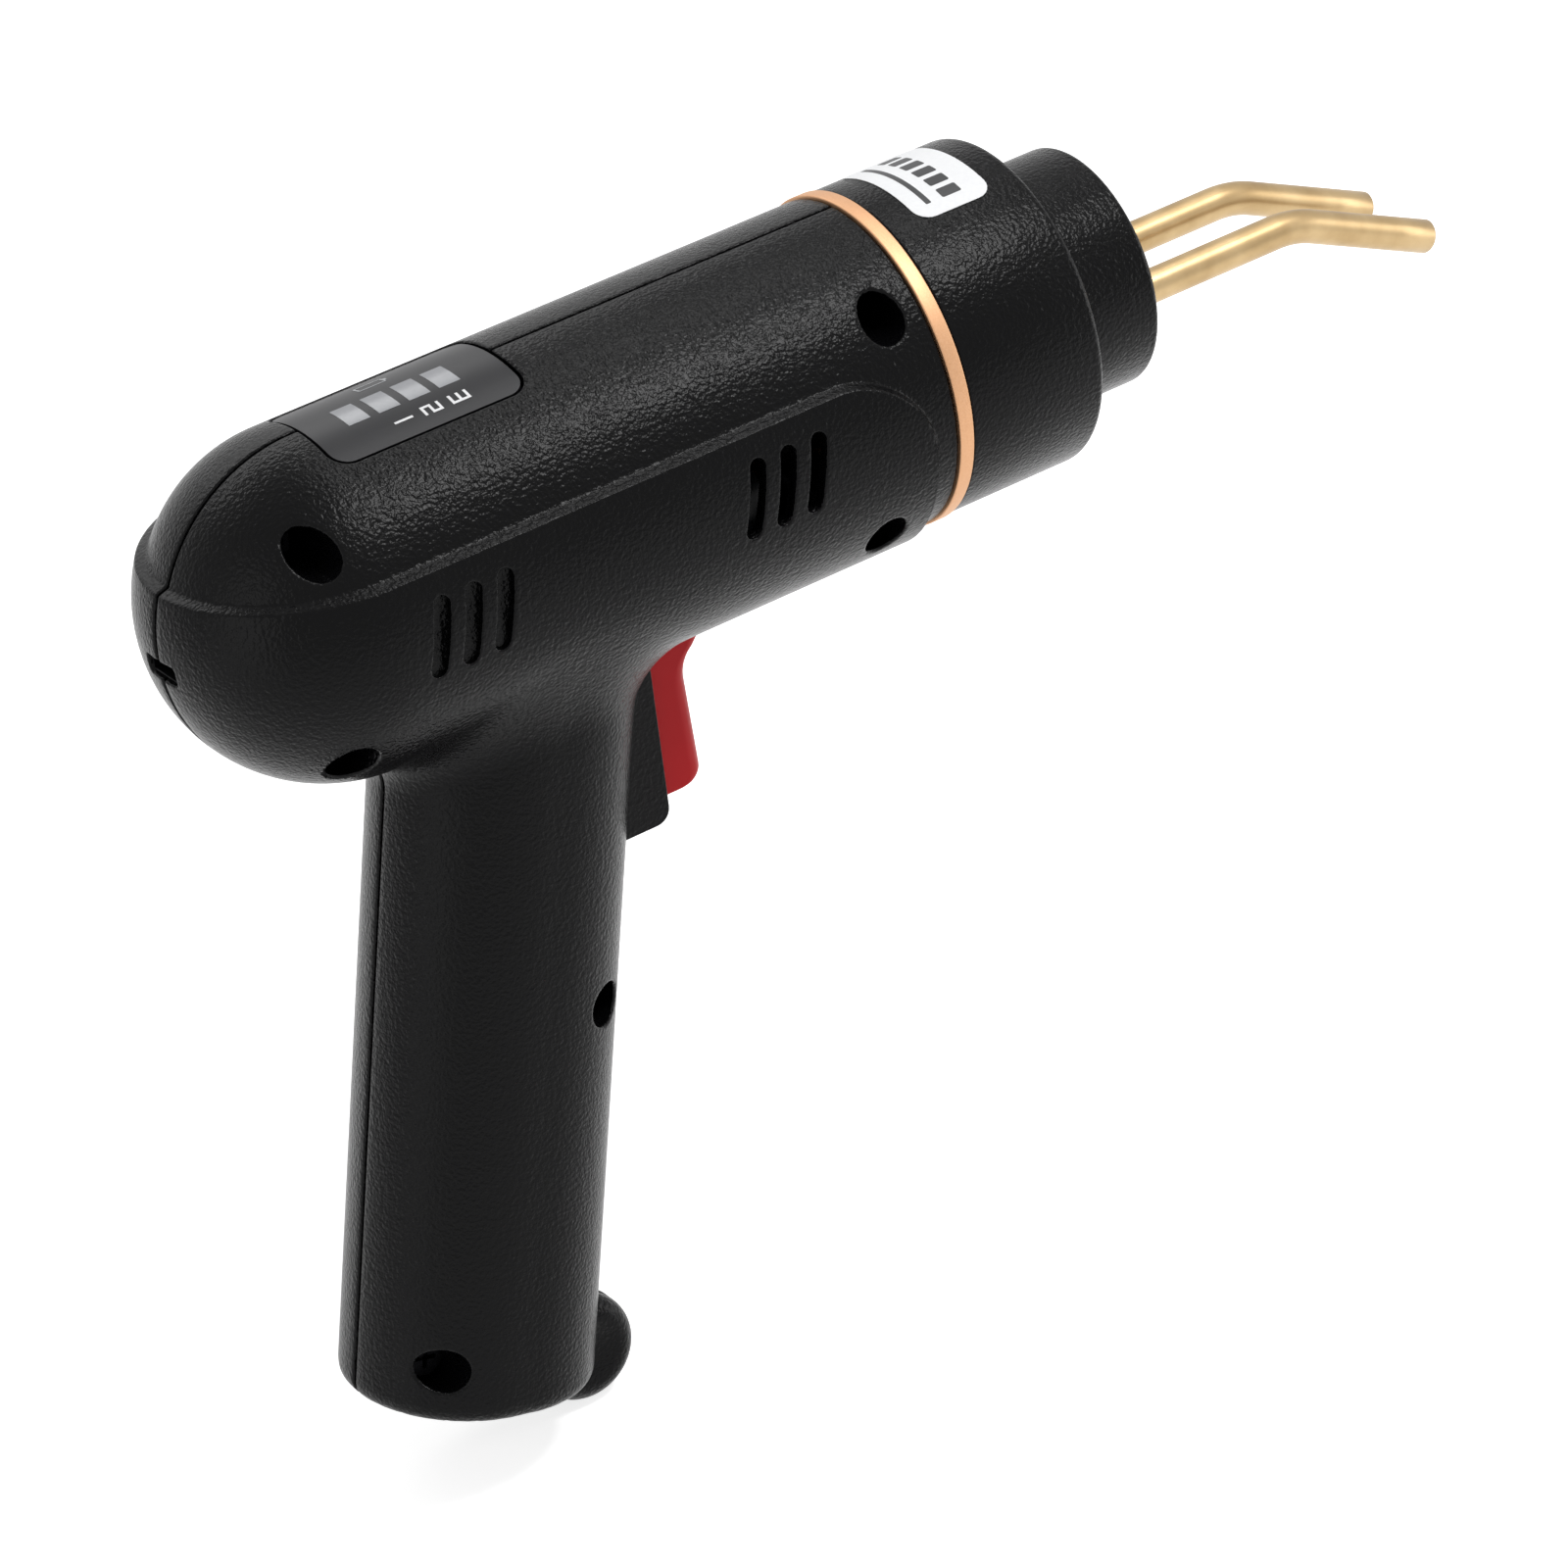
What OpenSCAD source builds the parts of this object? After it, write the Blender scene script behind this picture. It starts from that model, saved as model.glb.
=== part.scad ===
// Cordless plastic welding gun (hot stapler): a pistol-shaped casing in two halves, a stepped nose,
// two bent brass electrodes, a sprung trigger switch, a battery gauge window and the works inside.
// The frame: origin at the centre of the nozzle's front face, +X forward, +Y left, +Z up.

/* [Barrel] */
// Radius of the upper barrel
barrel_r = 24.6; // [22:0.1:30]
// How far the lower saddle stands proud of the barrel
saddle_step = 1.4; // [0.8:0.1:2]
// Length from the casing's front to the centre of its rear dome
barrel_len = 89; // [85:1:125]
// Wall of the casing mouldings
wall = 2.2; // [1.6:0.1:2.6]
// Height of the ledge above the barrel's axis
ledge_z = 10.2; // [6:0.1:14]
// Radius of the ledge's front corner in side view
ledge_corner_r = 14; // [8:1:18]
// Distance from the casing's front to the ledge's upright front
ledge_front = 3.8; // [2:0.1:8]

/* [Grip] */
// Distance from the casing's front to where the grip's axis meets the barrel's
grip_x = 58.1; // [54:0.5:70]
// Lean of the grip behind the upright, in degrees
grip_lean = 14.7; // [8:0.1:20]
// Length of the grip from the barrel's axis to its flat end
grip_len = 131.6; // [124:1:160]
// Half of the grip's depth, front to back
grip_half_l = 18.7; // [18:0.1:23]
// Half of the grip's width
grip_half_w = 17.2; // [15.6:0.1:20]
// Thickness of the grip's closed end
grip_floor = 2.6; // [2:0.1:4]
// Radius of the rounded edge at the grip's end
grip_edge = 2.5; // [1:0.1:3]
// Radius of the lanyard lug at the grip's toe
lug_r = 8.3; // [6:0.1:10]
// Thickness of the lug
lug_w = 9; // [8.5:0.5:12]
// Radius of the lug's rounded rim
lug_edge = 3.5; // [1:0.1:4]
// Depth of the dish in each side of the lug
lug_dish = 1; // [0.4:0.1:1.5]

/* [Nose] */
// Width of the trim ring
ring_w = 2.6; // [2:0.1:4]
// How far the trim ring stands proud of the barrel
ring_proud = 0.4; // [0.2:0.1:1]
// Length of the collar
collar_len = 22.8; // [18:0.1:30]
// Radius of the collar
collar_r = 24.7; // [24:0.1:27]
// Length of the nozzle in front of the collar
nozzle_len = 14.5; // [10:0.5:20]
// Radius of the nozzle
nozzle_r = 18; // [16:0.1:20]
// Thickness of the nozzle's front wall
nozzle_wall = 3; // [2:0.1:4]
// Length of the spigot that the casing clamps
spigot_len = 18; // [17:0.5:20]
// Inner radius of the spigot and the collar
spigot_inner_r = 19.5; // [18:0.1:20]
// Length of the label along the barrel
label_len = 12.5; // [8:0.5:16]
// Width of the label across the collar
label_w = 22; // [14:1:28]

/* [Electrodes] */
// Radius of an electrode rod
rod_r = 2.5; // [2:0.1:3]
// Distance between the two rods' axes
rod_pitch = 15; // [13:0.5:17]
// Height of the rods' axes, below the barrel's axis
rod_drop = 3.4; // [0:0.1:5]
// Straight length in front of the nozzle
rod_straight = 27.6; // [20:0.5:40]
// Radius of the bend at the rod's centre line
bend_r = 16; // [10:0.5:20]
// Angle of the bend, in degrees
bend_angle = 25; // [15:1:35]
// Length from the bend to the tip
tip_len = 22; // [15:0.5:28]
// Radius of the staple socket in each tip
socket_r = 0.65; // [0.5:0.05:0.9]
// Depth of the staple socket
socket_len = 8; // [5:0.5:10]

/* [Trigger] */
// Width of the trigger
trigger_w = 12; // [10:0.5:13]
// How far the trigger slides in
trigger_travel = 4.5; // [3:0.5:5]
// Height of the trigger's lower end, below the barrel's axis
trigger_bottom = 48.6; // [44:0.2:50]
// How far the trigger's flat front stands in front of the switch body
trigger_proud = 7.4; // [6:0.1:9]
// Radius of the finger hollow under the trigger's beak
finger_r = 6; // [4:0.5:8]
// Width of the switch body
switch_w = 16; // [15:0.5:18]
// Distance from the casing's front to the switch body's front
switch_x = 45.6; // [45:0.1:50]
// Length of the switch body
switch_len = 20.4; // [19:0.2:22]
// Running gap on each side of the trigger
trigger_gap = 0.3; // [0.2:0.05:0.4]

/* [Battery gauge] */
// Distance from the casing's front to the window's front edge
window_x = 57; // [50:0.5:60]
// Length of the window
window_len = 30.8; // [24:0.2:34]
// Half of the window's width
window_half_w = 10.4; // [8:0.1:12]
// Thickness of the window
window_t = 1.5; // [1:0.1:1.6]
// Length of one light bar
bar_len = 3.5; // [2.5:0.1:3.9]
// Width of one light bar across the barrel
bar_w = 5.4; // [4:0.1:6]
// Distance from one light bar to the next
bar_pitch = 4.8; // [4:0.1:5.5]

/* [Screws and vents] */
// Radius of the screws' shanks
screw_r = 1.5; // [1.2:0.1:1.6]
// Radius of the recess above each screw
recess_r = 3.25; // [3:0.05:3.5]
// Radius of the screw bosses
boss_r = 4.4; // [4.2:0.1:4.6]
// Distance from the casing's parting plane to the screws' seats
seat_y = 6; // [4:0.5:8]
// Width of one vent slot
vent_w = 2.5; // [1.5:0.1:3]
// Length of one vent slot
vent_len = 11.7; // [8:0.1:14]
// Distance from one vent slot to the next
vent_pitch = 5.05; // [4.5:0.05:6]
// Depth of the blind rear vent slots
vent_depth = 1.2; // [0.6:0.1:1.4]

/* [Power] */
// Radius of a battery cell
cell_r = 9.15; // [9:0.05:9.2]
// Length of a battery cell
cell_len = 65; // [60:0.5:65.5]
// Thickness of the circuit boards
board_t = 1.6; // [1:0.1:2]
// Width of the charging slot
slot_w = 7.6; // [7.4:0.1:9]
// Height of the charging slot
slot_h = 3; // [2.8:0.1:3.6]

/* [Hidden] */
$fn = 96;

eps = 0.01;
fit = 0.1;
seam = 37;
front_x = -(nozzle_len + collar_len + ring_w);
barrel_in = barrel_r - wall;
saddle_r = barrel_r + saddle_step;
nose_x = nozzle_len + collar_len + ring_w;
boss_z = barrel_in - 7;
rod_z = -rod_drop;
bend_x = nose_x + rod_straight;
switch_back = switch_x + switch_len;
cavity_back = switch_back - 6;
trigger_back = cavity_back - trigger_travel - 0.5;
trigger_front = switch_x - trigger_proud;
switch_bottom = trigger_bottom + 2.9;
terminal_zs = [-44, -36];
wire_xs = [-switch_back - 4, -switch_back - 1.4];
spring_z = -(saddle_r + switch_bottom) / 2;
spring_r = 2.2;
spring_wire = 0.35;
pocket_depth = 5;
cell_gap = 1.3;
cell_y = cell_r + cell_gap / 2;
cell_z = -sqrt(pow(barrel_in - cell_r - 0.3, 2) - pow(cell_y, 2));
cells_front = barrel_len + 3 - cell_len;
board_z = 3;
board_front = 20;
board_back = barrel_len - 3;
board_half_w = 19;
gauge_z = barrel_in - 4;
gauge_half_w = 9;
pins_x = min(window_x + window_len - 5, board_back - 3.2);
bars = 4;
bar_first = window_x + 8.75;
charge_z = -1.1;
socket_h = slot_h - 0.4;
socket_w = slot_w - 0.4;
charge_top = charge_z - socket_h / 2;
charge_back = barrel_len + 19;
charge_front = barrel_len + 5;
grip_in_l = grip_half_l - wall;
grip_in_w = grip_half_w - wall;
grip_cell_a = -2.5;
grip_cell_t = grip_len - 14 - cell_len;
rib_t = 2;
grip_ribs = [grip_cell_t + 6, grip_cell_t + cell_len - 9];
cradle_xs = [barrel_len - 3, barrel_len - 31, cells_front + 5];
carrier_z = -9.2;
carrier_t = 2.6;
block_len = 16;
block_back = -2;
disc_t = 2;
disc_x = ring_w + collar_len - 2.5 - disc_t;
lead_x = -23;
lead_r = 2.2;
mosfet_h = 4.4;

// Places of the casing screws: two at the front, two at the rear, and two in the grip
barrel_bosses = [[-6.1, boss_z], [-11.7, -boss_z - 0.6],
    [-(barrel_len + 8.3), boss_z], [-(barrel_len + 9), -boss_z - 0.9]];
grip_bosses = [[grip_half_l - 7.5, 70.4], [-(grip_half_l - 6.6), grip_len - 8.5]];

module from_front() { translate([front_x, 0, 0]) children(); }
module in_grip() { translate([-grip_x, 0, 0]) rotate([0, grip_lean, 0]) children(); }
// Round shapes along X are turned by the seam angle, so that no seam lies in the parting plane
module along_x(x, r, h) { translate([x, 0, 0]) rotate([0, 90, 0]) rotate(seam) cylinder(r = r, h = h); }
module along_y(y, r, h) { translate([0, y, 0]) rotate([-90, 0, 0]) cylinder(r = r, h = h); }
// A block given by its low and high corners
module block(a, b) { translate(a) cube(b - a); }

module oval(half_l, half_w) {
    d = half_l - half_w;
    translate([-d, 0]) rotate(seam) circle(half_w);
    translate([d, 0]) rotate(180 - seam) circle(half_w);
    square([2 * d, 2 * half_w], center = true);
}

module round_rect(l, w, r) {
    square([l - 2 * r, w], center = true);
    square([l, w - 2 * r], center = true);
    for (x = [-1, 1], y = [-1, 1]) translate([x * (l / 2 - r), y * (w / 2 - r)]) circle(r);
}

// A polyhedron tube of radius r that a function's points sweep out around an axis along X
module coil(x0, len, turns, mean_r, r) {
    steps = turns * 16;
    sides = 8;
    rings = [for (i = [0:steps]) let (a = 360 * i / 16, x = x0 + r + (len - 2 * r) * i / steps)
        [for (k = [0:sides - 1]) let (b = 360 * k / sides, q = mean_r + r * cos(b))
            [x + r * sin(b), q * cos(a), q * sin(a)]]];
    pts = [for (ring = rings) for (p = ring) p];
    side_faces = [for (i = [0:steps - 1]) for (k = [0:sides - 1]) let (n = (k + 1) % sides)
        [i * sides + k, i * sides + n, (i + 1) * sides + n, (i + 1) * sides + k]];
    cap_a = [for (k = [0:sides - 1]) sides - 1 - k];
    cap_b = [for (k = [0:sides - 1]) steps * sides + k];
    polyhedron(points = pts, faces = concat([cap_a], side_faces, [cap_b]));
}

/* ---- the casing's shape ---- */

// A barrel of radius r with a round rear end, from the casing's front plus an overrun
module bullet(r, over) {
    rotate([0, 90, 0]) rotate(seam) rotate_extrude() {
        translate([0, -barrel_len]) square([r, barrel_len + over]);
        translate([0, -barrel_len]) intersection() {
            circle(r);
            translate([0, -r - 1]) square([r + 1, r + 1]);
        }
    }
}

// The ledge's outline in side view: a level top, a round front corner and an upright front
module saddle_side() {
    deep = saddle_r + 5;
    back = barrel_len + saddle_r + 5;
    r = ledge_corner_r;
    translate([-back, -deep]) square([back - ledge_front - r, deep + ledge_z]);
    translate([-back, -deep]) square([back - ledge_front, deep + ledge_z - r]);
    translate([-ledge_front - r, ledge_z - r]) circle(r);
}

// The grip's solid: an oval post whose lower edge is rounded
module grip_post() {
    d = grip_half_l - grip_half_w;
    e = grip_edge;
    translate([0, 0, -grip_len]) {
        for (s = [-1, 1]) translate([s * d, 0, 0]) rotate(90 - s * (90 - seam)) rotate_extrude()
            post_profile(e, grip_half_w);
        translate([-d, 0, 0]) rotate([90, 0, 90]) linear_extrude(2 * d) {
            post_profile(e, grip_half_w);
            mirror([1, 0]) post_profile(e, grip_half_w);
        }
    }
}

module post_profile(e, w) {
    square([w - e, grip_len]);
    translate([0, e]) square([w, grip_len - e]);
    translate([w - e, e]) circle(e);
}

module at_lug() { in_grip() translate([grip_half_l, 0, -grip_len + 1]) children(); }

module casing_outer() {
    bullet(barrel_r, 0);
    intersection() {
        bullet(saddle_r, 0);
        translate([0, saddle_r + 5, 0]) rotate([90, 0, 0]) linear_extrude(2 * saddle_r + 10) saddle_side();
    }
    in_grip() grip_post();
    at_lug() rotate([90, 0, 0]) rotate_extrude() {
        translate([0, lug_edge - lug_w / 2]) square([lug_r, lug_w - 2 * lug_edge]);
        translate([0, -lug_w / 2]) square([lug_r - lug_edge, lug_w]);
        for (s = [-1, 1]) translate([lug_r - lug_edge, s * (lug_w / 2 - lug_edge)]) intersection() {
            circle(lug_edge);
            translate([-0.5, -lug_edge - 1]) square([lug_edge + 1, 2 * lug_edge + 2]);
        }
    }
}

module casing_inner() {
    bullet(barrel_in, 1);
    in_grip() translate([0, 0, grip_floor - grip_len]) linear_extrude(grip_len - grip_floor)
        oval(grip_in_l, grip_in_w);
}

module casing_half_space(side) {
    big = 400;
    translate([-big / 2, side > 0 ? 0 : -big / 2, -big / 2]) cube([big, big / 2, big]);
}

module at_bosses() {
    for (p = barrel_bosses) translate([p[0], 0, p[1]]) children();
    in_grip() for (p = grip_bosses) translate([p[0], 0, -p[1]]) children();
}

// Shelves and ribs that carry the boards and the grip's cell
module casing_ribs() {
    for (x = [window_x + 4, window_x + window_len - 5], s = [-1, 1])
        translate([-x - 4, s > 0 ? gauge_half_w - 2 : -barrel_r, gauge_z - 1.5])
            cube([4, barrel_r - gauge_half_w + 2, 1.5]);
    for (x = [board_front + 8, board_back - 10], s = [-1, 1])
        translate([-x - 4, s > 0 ? board_half_w - 1.5 : -barrel_r, board_z - 1.8])
            cube([4, barrel_r - board_half_w + 1.5, 1.8]);
    for (s = [-1, 1])
        translate([-(charge_back - 4), s > 0 ? 6 : -barrel_r, charge_top - board_t - 1.5])
            cube([4, barrel_r - 6, 1.5]);
    in_grip() for (t = grip_ribs) translate([0, 0, -t - rib_t]) linear_extrude(rib_t) difference() {
        oval(grip_half_l - 1, grip_half_w - 1);
        translate([grip_cell_a, 0]) circle(cell_r + fit);
    }
}

module window_prism(grow, low, high) {
    translate([-window_x - window_len / 2, 0, low]) linear_extrude(high - low)
        round_rect(window_len + 2 * grow, 2 * window_half_w + 2 * grow, 3 + grow);
}

module vent(x, deep_y) {
    translate([-x, 0, 0.7]) rotate([0, grip_lean, 0]) for (s = [-1, 1])
        translate([0, s > 0 ? deep_y : -deep_y, 0]) rotate([s > 0 ? -90 : 90, 0, 0])
            linear_extrude(30) for (k = [-1, 1]) {
                translate([0, k * (vent_len - vent_w) / 2]) circle(vent_w / 2);
                square([vent_w, vent_len - vent_w], center = true);
            }
}

module switch_opening(grow) {
    difference() {
        block([-switch_back - grow, -switch_w / 2 - grow, -switch_bottom - grow],
            [-switch_x + 12, switch_w / 2 + grow, -saddle_r + 4]);
        along_x(-switch_back - 5, saddle_r + fit / 2, switch_len + 30);
    }
}

module casing_openings() {
    window_prism(fit, sqrt(pow(barrel_r - window_t, 2) - pow(window_half_w, 2)) - 0.25, barrel_r + 1);
    window_prism(-1.2, barrel_in - 4, barrel_r + 1);
    for (k = [-1:1]) vent(28.9 + k * vent_pitch, 0.5 * barrel_r);
    for (k = [-1:1]) vent(barrel_len - 9 + k * vent_pitch, sqrt(pow(saddle_r, 2) - 30) - vent_depth);
    translate([-barrel_len - barrel_in + 4, 0, charge_z]) rotate([0, -90, 0])
        linear_extrude(14) round_rect(slot_h, slot_w, 0.5);
    switch_opening(fit);
    at_lug() for (s = [-1, 1])
        along_y(s > 0 ? lug_w / 2 - lug_dish : -lug_w / 2 - 20, lug_r - lug_edge + 1, s > 0 ? 20 : 20 + lug_dish);
}

module casing_half(side) {
    from_front() difference() {
        intersection() {
            casing_outer();
            casing_half_space(side);
        }
        difference() {
            casing_inner();
            at_bosses() along_y(-barrel_r, boss_r, 2 * barrel_r);
            casing_ribs();
        }
        casing_openings();
        if (side < 0) at_bosses() along_y(-seat_y - 40, recess_r, 40);
        if (side < 0) at_bosses() along_y(-seat_y - 1, screw_r + 0.2, seat_y + 2);
        if (side > 0) at_bosses() along_y(-1, screw_r, seat_y + 4);
    }
}

module casing_right() { color("#26272a") casing_half(-1); }
module casing_left() { color("#2c2d31") casing_half(1); }

/* ---- the nose ---- */

module trim_ring() {
    color("#c98a66") from_front() difference() {
        along_x(0, barrel_r + ring_proud, ring_w);
        along_x(-1, barrel_in, ring_w + 2);
    }
}

module nose_collar() {
    step = ring_w + collar_len;
    r_in = nozzle_r - 2.5;
    edge = 1.2;
    color("#1f2023") from_front() difference() {
        rotate([0, 90, 0]) rotate(seam) rotate_extrude() polygon([[spigot_inner_r, -spigot_len],
            [barrel_in - fit, -spigot_len], [barrel_in - fit, ring_w], [collar_r, ring_w],
            [collar_r, step - edge], [collar_r - edge, step], [nozzle_r, step],
            [nozzle_r, nose_x - 1], [nozzle_r - 1, nose_x], [0, nose_x],
            [0, nose_x - nozzle_wall], [r_in, nose_x - nozzle_wall], [r_in, step - 2.5],
            [spigot_inner_r, step - 2.5]]);
        for (p = [barrel_bosses[0], barrel_bosses[1]])
            translate([p[0], 0, p[1]]) along_y(-barrel_r, boss_r + 0.2, 2 * barrel_r);
        for (s = [-1, 1]) translate([0, s * rod_pitch / 2, rod_z])
            along_x(nose_x - 2 * nozzle_wall, rod_r + fit, 3 * nozzle_wall);
    }
}

module nose_label() {
    color("#f2f2f0") from_front() intersection() {
        difference() {
            along_x(ring_w, collar_r + 0.15, collar_len);
            along_x(ring_w - 1, collar_r + 0.02, collar_len + 2);
        }
        translate([ring_w + 5 + label_len / 2, 0, 0]) linear_extrude(collar_r + 5)
            round_rect(label_len, label_w, 2.5);
    }
}

/* ---- the electrodes and what holds them ---- */

module electrode(side) {
    end_x = bend_r * sin(bend_angle);
    end_z = bend_r * (1 - cos(bend_angle));
    color("#c9a24a") from_front() translate([bend_x, side * rod_pitch / 2, rod_z - bend_r]) {
        difference() {
            union() {
                translate([0.2 - bend_x, 0, bend_r]) rotate([0, 90, 0]) cylinder(r = rod_r, h = bend_x - 0.2);
                rotate([90, 0, 0]) intersection() {
                    rotate_extrude() translate([bend_r, 0]) circle(rod_r);
                    translate([0, 0, -bend_r]) linear_extrude(2 * bend_r)
                        polygon([[0, 0], [0, 2 * bend_r], [2 * bend_r * tan(bend_angle), 2 * bend_r]]);
                }
                rotate([0, bend_angle, 0]) translate([-0.05, 0, bend_r]) rotate([0, 90, 0])
                    cylinder(r = rod_r + eps, h = tip_len + 0.05);
            }
            translate([end_x, 0, bend_r - end_z]) rotate([0, 90 + bend_angle, 0])
                translate([0, 0, tip_len - socket_len]) cylinder(r = socket_r, h = socket_len + 1);
        }
    }
}

module electrode_left() { electrode(1); }
module electrode_right() { electrode(-1); }

module insulator_disc() {
    color("#e8e2d4") from_front() difference() {
        along_x(disc_x, spigot_inner_r - fit, disc_t);
        for (s = [-1, 1]) translate([0, s * rod_pitch / 2, rod_z]) along_x(disc_x - 1, rod_r + 0.05, disc_t + 2);
    }
}

module terminal_carrier() {
    low = carrier_z - carrier_t;
    half = sqrt(pow(spigot_inner_r, 2) - pow(low, 2)) - 0.05;
    color("#b98a4e") from_front() block([-8, -half, low], [disc_x - fit, half, carrier_z]);
}

module terminal_blocks() {
    half = rod_pitch / 2 - 2.5;
    color("#b8923f") from_front() for (s = [-1, 1]) translate([0, s * rod_pitch / 2, 0]) difference() {
        block([block_back, -half, carrier_z], [block_back + block_len, half, rod_z + 5.8]);
        translate([0, 0, rod_z]) along_x(0, rod_r + 0.02, block_len);
        for (x = [3.5, 10]) translate([x, 0, rod_z]) cylinder(r = 2, h = 10);
    }
}

module clamp_screws() {
    color("#8d9096") from_front() for (s = [-1, 1], x = [3.5, 10])
        translate([x, s * rod_pitch / 2, rod_z + rod_r + 0.02]) difference() {
            cylinder(r = 2, h = 5.4);
            translate([0, 0, 3.6]) cylinder(r = 1.1, h = 3, $fn = 6);
        }
}

module power_leads() {
    color("#b3282d") from_front() for (s = [-1, 1]) translate([0, s * rod_pitch / 2, rod_z])
        along_x(lead_x, lead_r, block_back - lead_x);
}

// Copper plates that hang from the board's front edge and take the leads' rear ends
module lead_lugs() {
    color("#b87333") from_front() for (s = [-1, 1]) translate([0, s * rod_pitch / 2, 0])
        block([lead_x - 1.2, -3.5, rod_z - 3], [lead_x, 3.5, board_z]);
}

/* ---- the trigger and its switch ---- */

module trigger() {
    half = trigger_w / 2;
    corner = 3;
    hollow_z = -(saddle_r + finger_r + 1);
    beak = trigger_front - finger_r + 1.4;
    color("#c1121f") from_front() difference() {
        union() {
            block([-trigger_back, -half, -trigger_bottom], [-trigger_front - corner, half, -saddle_r + 3]);
            block([-trigger_front - corner - 1, corner - half, -trigger_bottom],
                [-trigger_front, half - corner, -saddle_r + 3]);
            for (s = [-1, 1]) translate([-trigger_front - corner, s * (half - corner), -trigger_bottom])
                cylinder(r = corner, h = trigger_bottom - saddle_r + 3);
            block([-trigger_front - corner, -half + 1.5, hollow_z], [-beak, half - 1.5, -saddle_r + 3]);
        }
        translate([-trigger_front + finger_r, 0, hollow_z]) along_y(-half - 1, finger_r, trigger_w + 2);
        along_x(-trigger_back - 1, saddle_r + trigger_gap, trigger_back);
        translate([0, 0, spring_z]) along_x(-trigger_back - 1, spring_r + 0.8, pocket_depth + 1);
    }
}

module trigger_spring() {
    color("#9a9da3") from_front() translate([0, 0, spring_z])
        coil(-cavity_back, cavity_back - trigger_back + pocket_depth, 6, spring_r, spring_wire);
}

module switch_body() {
    half = trigger_w / 2 + trigger_gap;
    color("#2a2a2d") from_front() difference() {
        block([-switch_back, -switch_w / 2, -switch_bottom], [-switch_x, switch_w / 2, -saddle_r + 3]);
        along_x(-switch_back - 1, saddle_r + fit, switch_len + 2);
        block([-cavity_back, -half, -trigger_bottom - trigger_gap], [0, half, 0]);
    }
}

module switch_terminals() {
    color("#b9bcc2") from_front() for (i = [0, 1])
        block([wire_xs[i] - 1, -3, terminal_zs[i]], [-switch_back, 3, terminal_zs[i] + 0.8]);
}

module switch_wires() {
    color("#e0b020") from_front() for (i = [0, 1]) {
        z = terminal_zs[i] + 0.8;
        translate([wire_xs[i], 0, z]) cylinder(r = 0.5, h = board_z - z);
    }
}

/* ---- the battery gauge ---- */

module gauge_window() {
    color("#1c1e22") from_front() intersection() {
        difference() {
            along_x(-window_x - window_len - 1, barrel_r - fit, window_len + 2);
            along_x(-window_x - window_len - 2, barrel_r - window_t, window_len + 4);
        }
        window_prism(0, 0, barrel_r + 1);
    }
}

module gauge_board() {
    color("#1d5c3a") from_front()
        block([-window_x - window_len + 2, -gauge_half_w, gauge_z], [-window_x - 2, gauge_half_w, gauge_z + board_t]);
}

module gauge_lights() {
    color("#d8dade") from_front() for (i = [0:bars - 1]) translate([-bar_first - i * bar_pitch, 1.1, 0])
        block([-bar_len / 2, -bar_w / 2 - 2.2, gauge_z + board_t],
            [bar_len / 2, bar_w / 2 - 2.2, barrel_r - window_t - 0.8]);
}

module gauge_pins() {
    color("#c9a24a") from_front() for (i = [0:5])
        translate([-pins_x, -5 + 2 * i, board_z + board_t])
            cylinder(r = 0.32, h = gauge_z - board_z - board_t);
}

/* ---- the control board ---- */

module control_board() {
    color("#17643f") from_front()
        block([-board_back, -board_half_w, board_z], [-board_front, board_half_w, board_z + board_t]);
}

module power_mosfets() {
    color("#303236") from_front() for (x = [31, 45], y = [-7, 7])
        translate([-x - 5, y - 4.5, board_z + board_t]) cube([10, 9, mosfet_h]);
}

module heat_sink() {
    base = board_z + board_t + mosfet_h;
    color("#b4b8be") from_front() {
        block([-52, -12, base], [-24, 12, base + 1.6]);
        for (i = [0:6]) translate([-52, -12 + i * 3.75, base + 1.6 - eps]) cube([28, 1.5, 4.4]);
    }
}

module board_parts() {
    top = board_z + board_t;
    color("#3a4a8c") from_front() {
        for (y = [-6, 6]) translate([-62, y, top]) cylinder(r = 4, h = 9);
        block([-76, -4, top], [-69, 4, top + 1.4]);
        translate([-58, 14, top]) cylinder(r = 2.5, h = 4);
        block([-30, 13.5, top], [-26, 17, top + 2.5]);
    }
}

/* ---- the cells ---- */

module barrel_cells() {
    color("#3f7fbf") from_front() for (s = [-1, 1]) translate([0, s * cell_y, cell_z]) {
        along_x(-cells_front - cell_len, cell_r, cell_len - 1);
        along_x(-cells_front - 1, 2.8, 1);
    }
}

module grip_cell() {
    color("#3f7fbf") from_front() in_grip() translate([grip_cell_a, 0, -grip_cell_t - cell_len]) {
        cylinder(r = cell_r, h = cell_len - 1);
        translate([0, 0, cell_len - 1]) cylinder(r = 2.8, h = 1);
    }
}

// Three cross frames that the barrel's cells lie in, joined by a rib along the bottom
module cell_cradle() {
    color("#5a5d63") from_front() difference() {
        union() {
            for (x = cradle_xs) intersection() {
                along_x(-x, barrel_in - 0.05, 3);
                block([-x - 1, -barrel_r, -barrel_r], [-x + 4, barrel_r, cell_z]);
            }
            block([-cradle_xs[0], -1.5, -barrel_in + 1], [-cradle_xs[2] + 3, 1.5, -barrel_in + 5.5]);
        }
        for (s = [-1, 1]) translate([0, s * cell_y, cell_z]) along_x(-barrel_len - 20, cell_r + 0.05, barrel_len + 20);
        for (x = wire_xs) translate([x, 0, -barrel_r]) cylinder(r = 0.9, h = 2 * barrel_r);
    }
}

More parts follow.
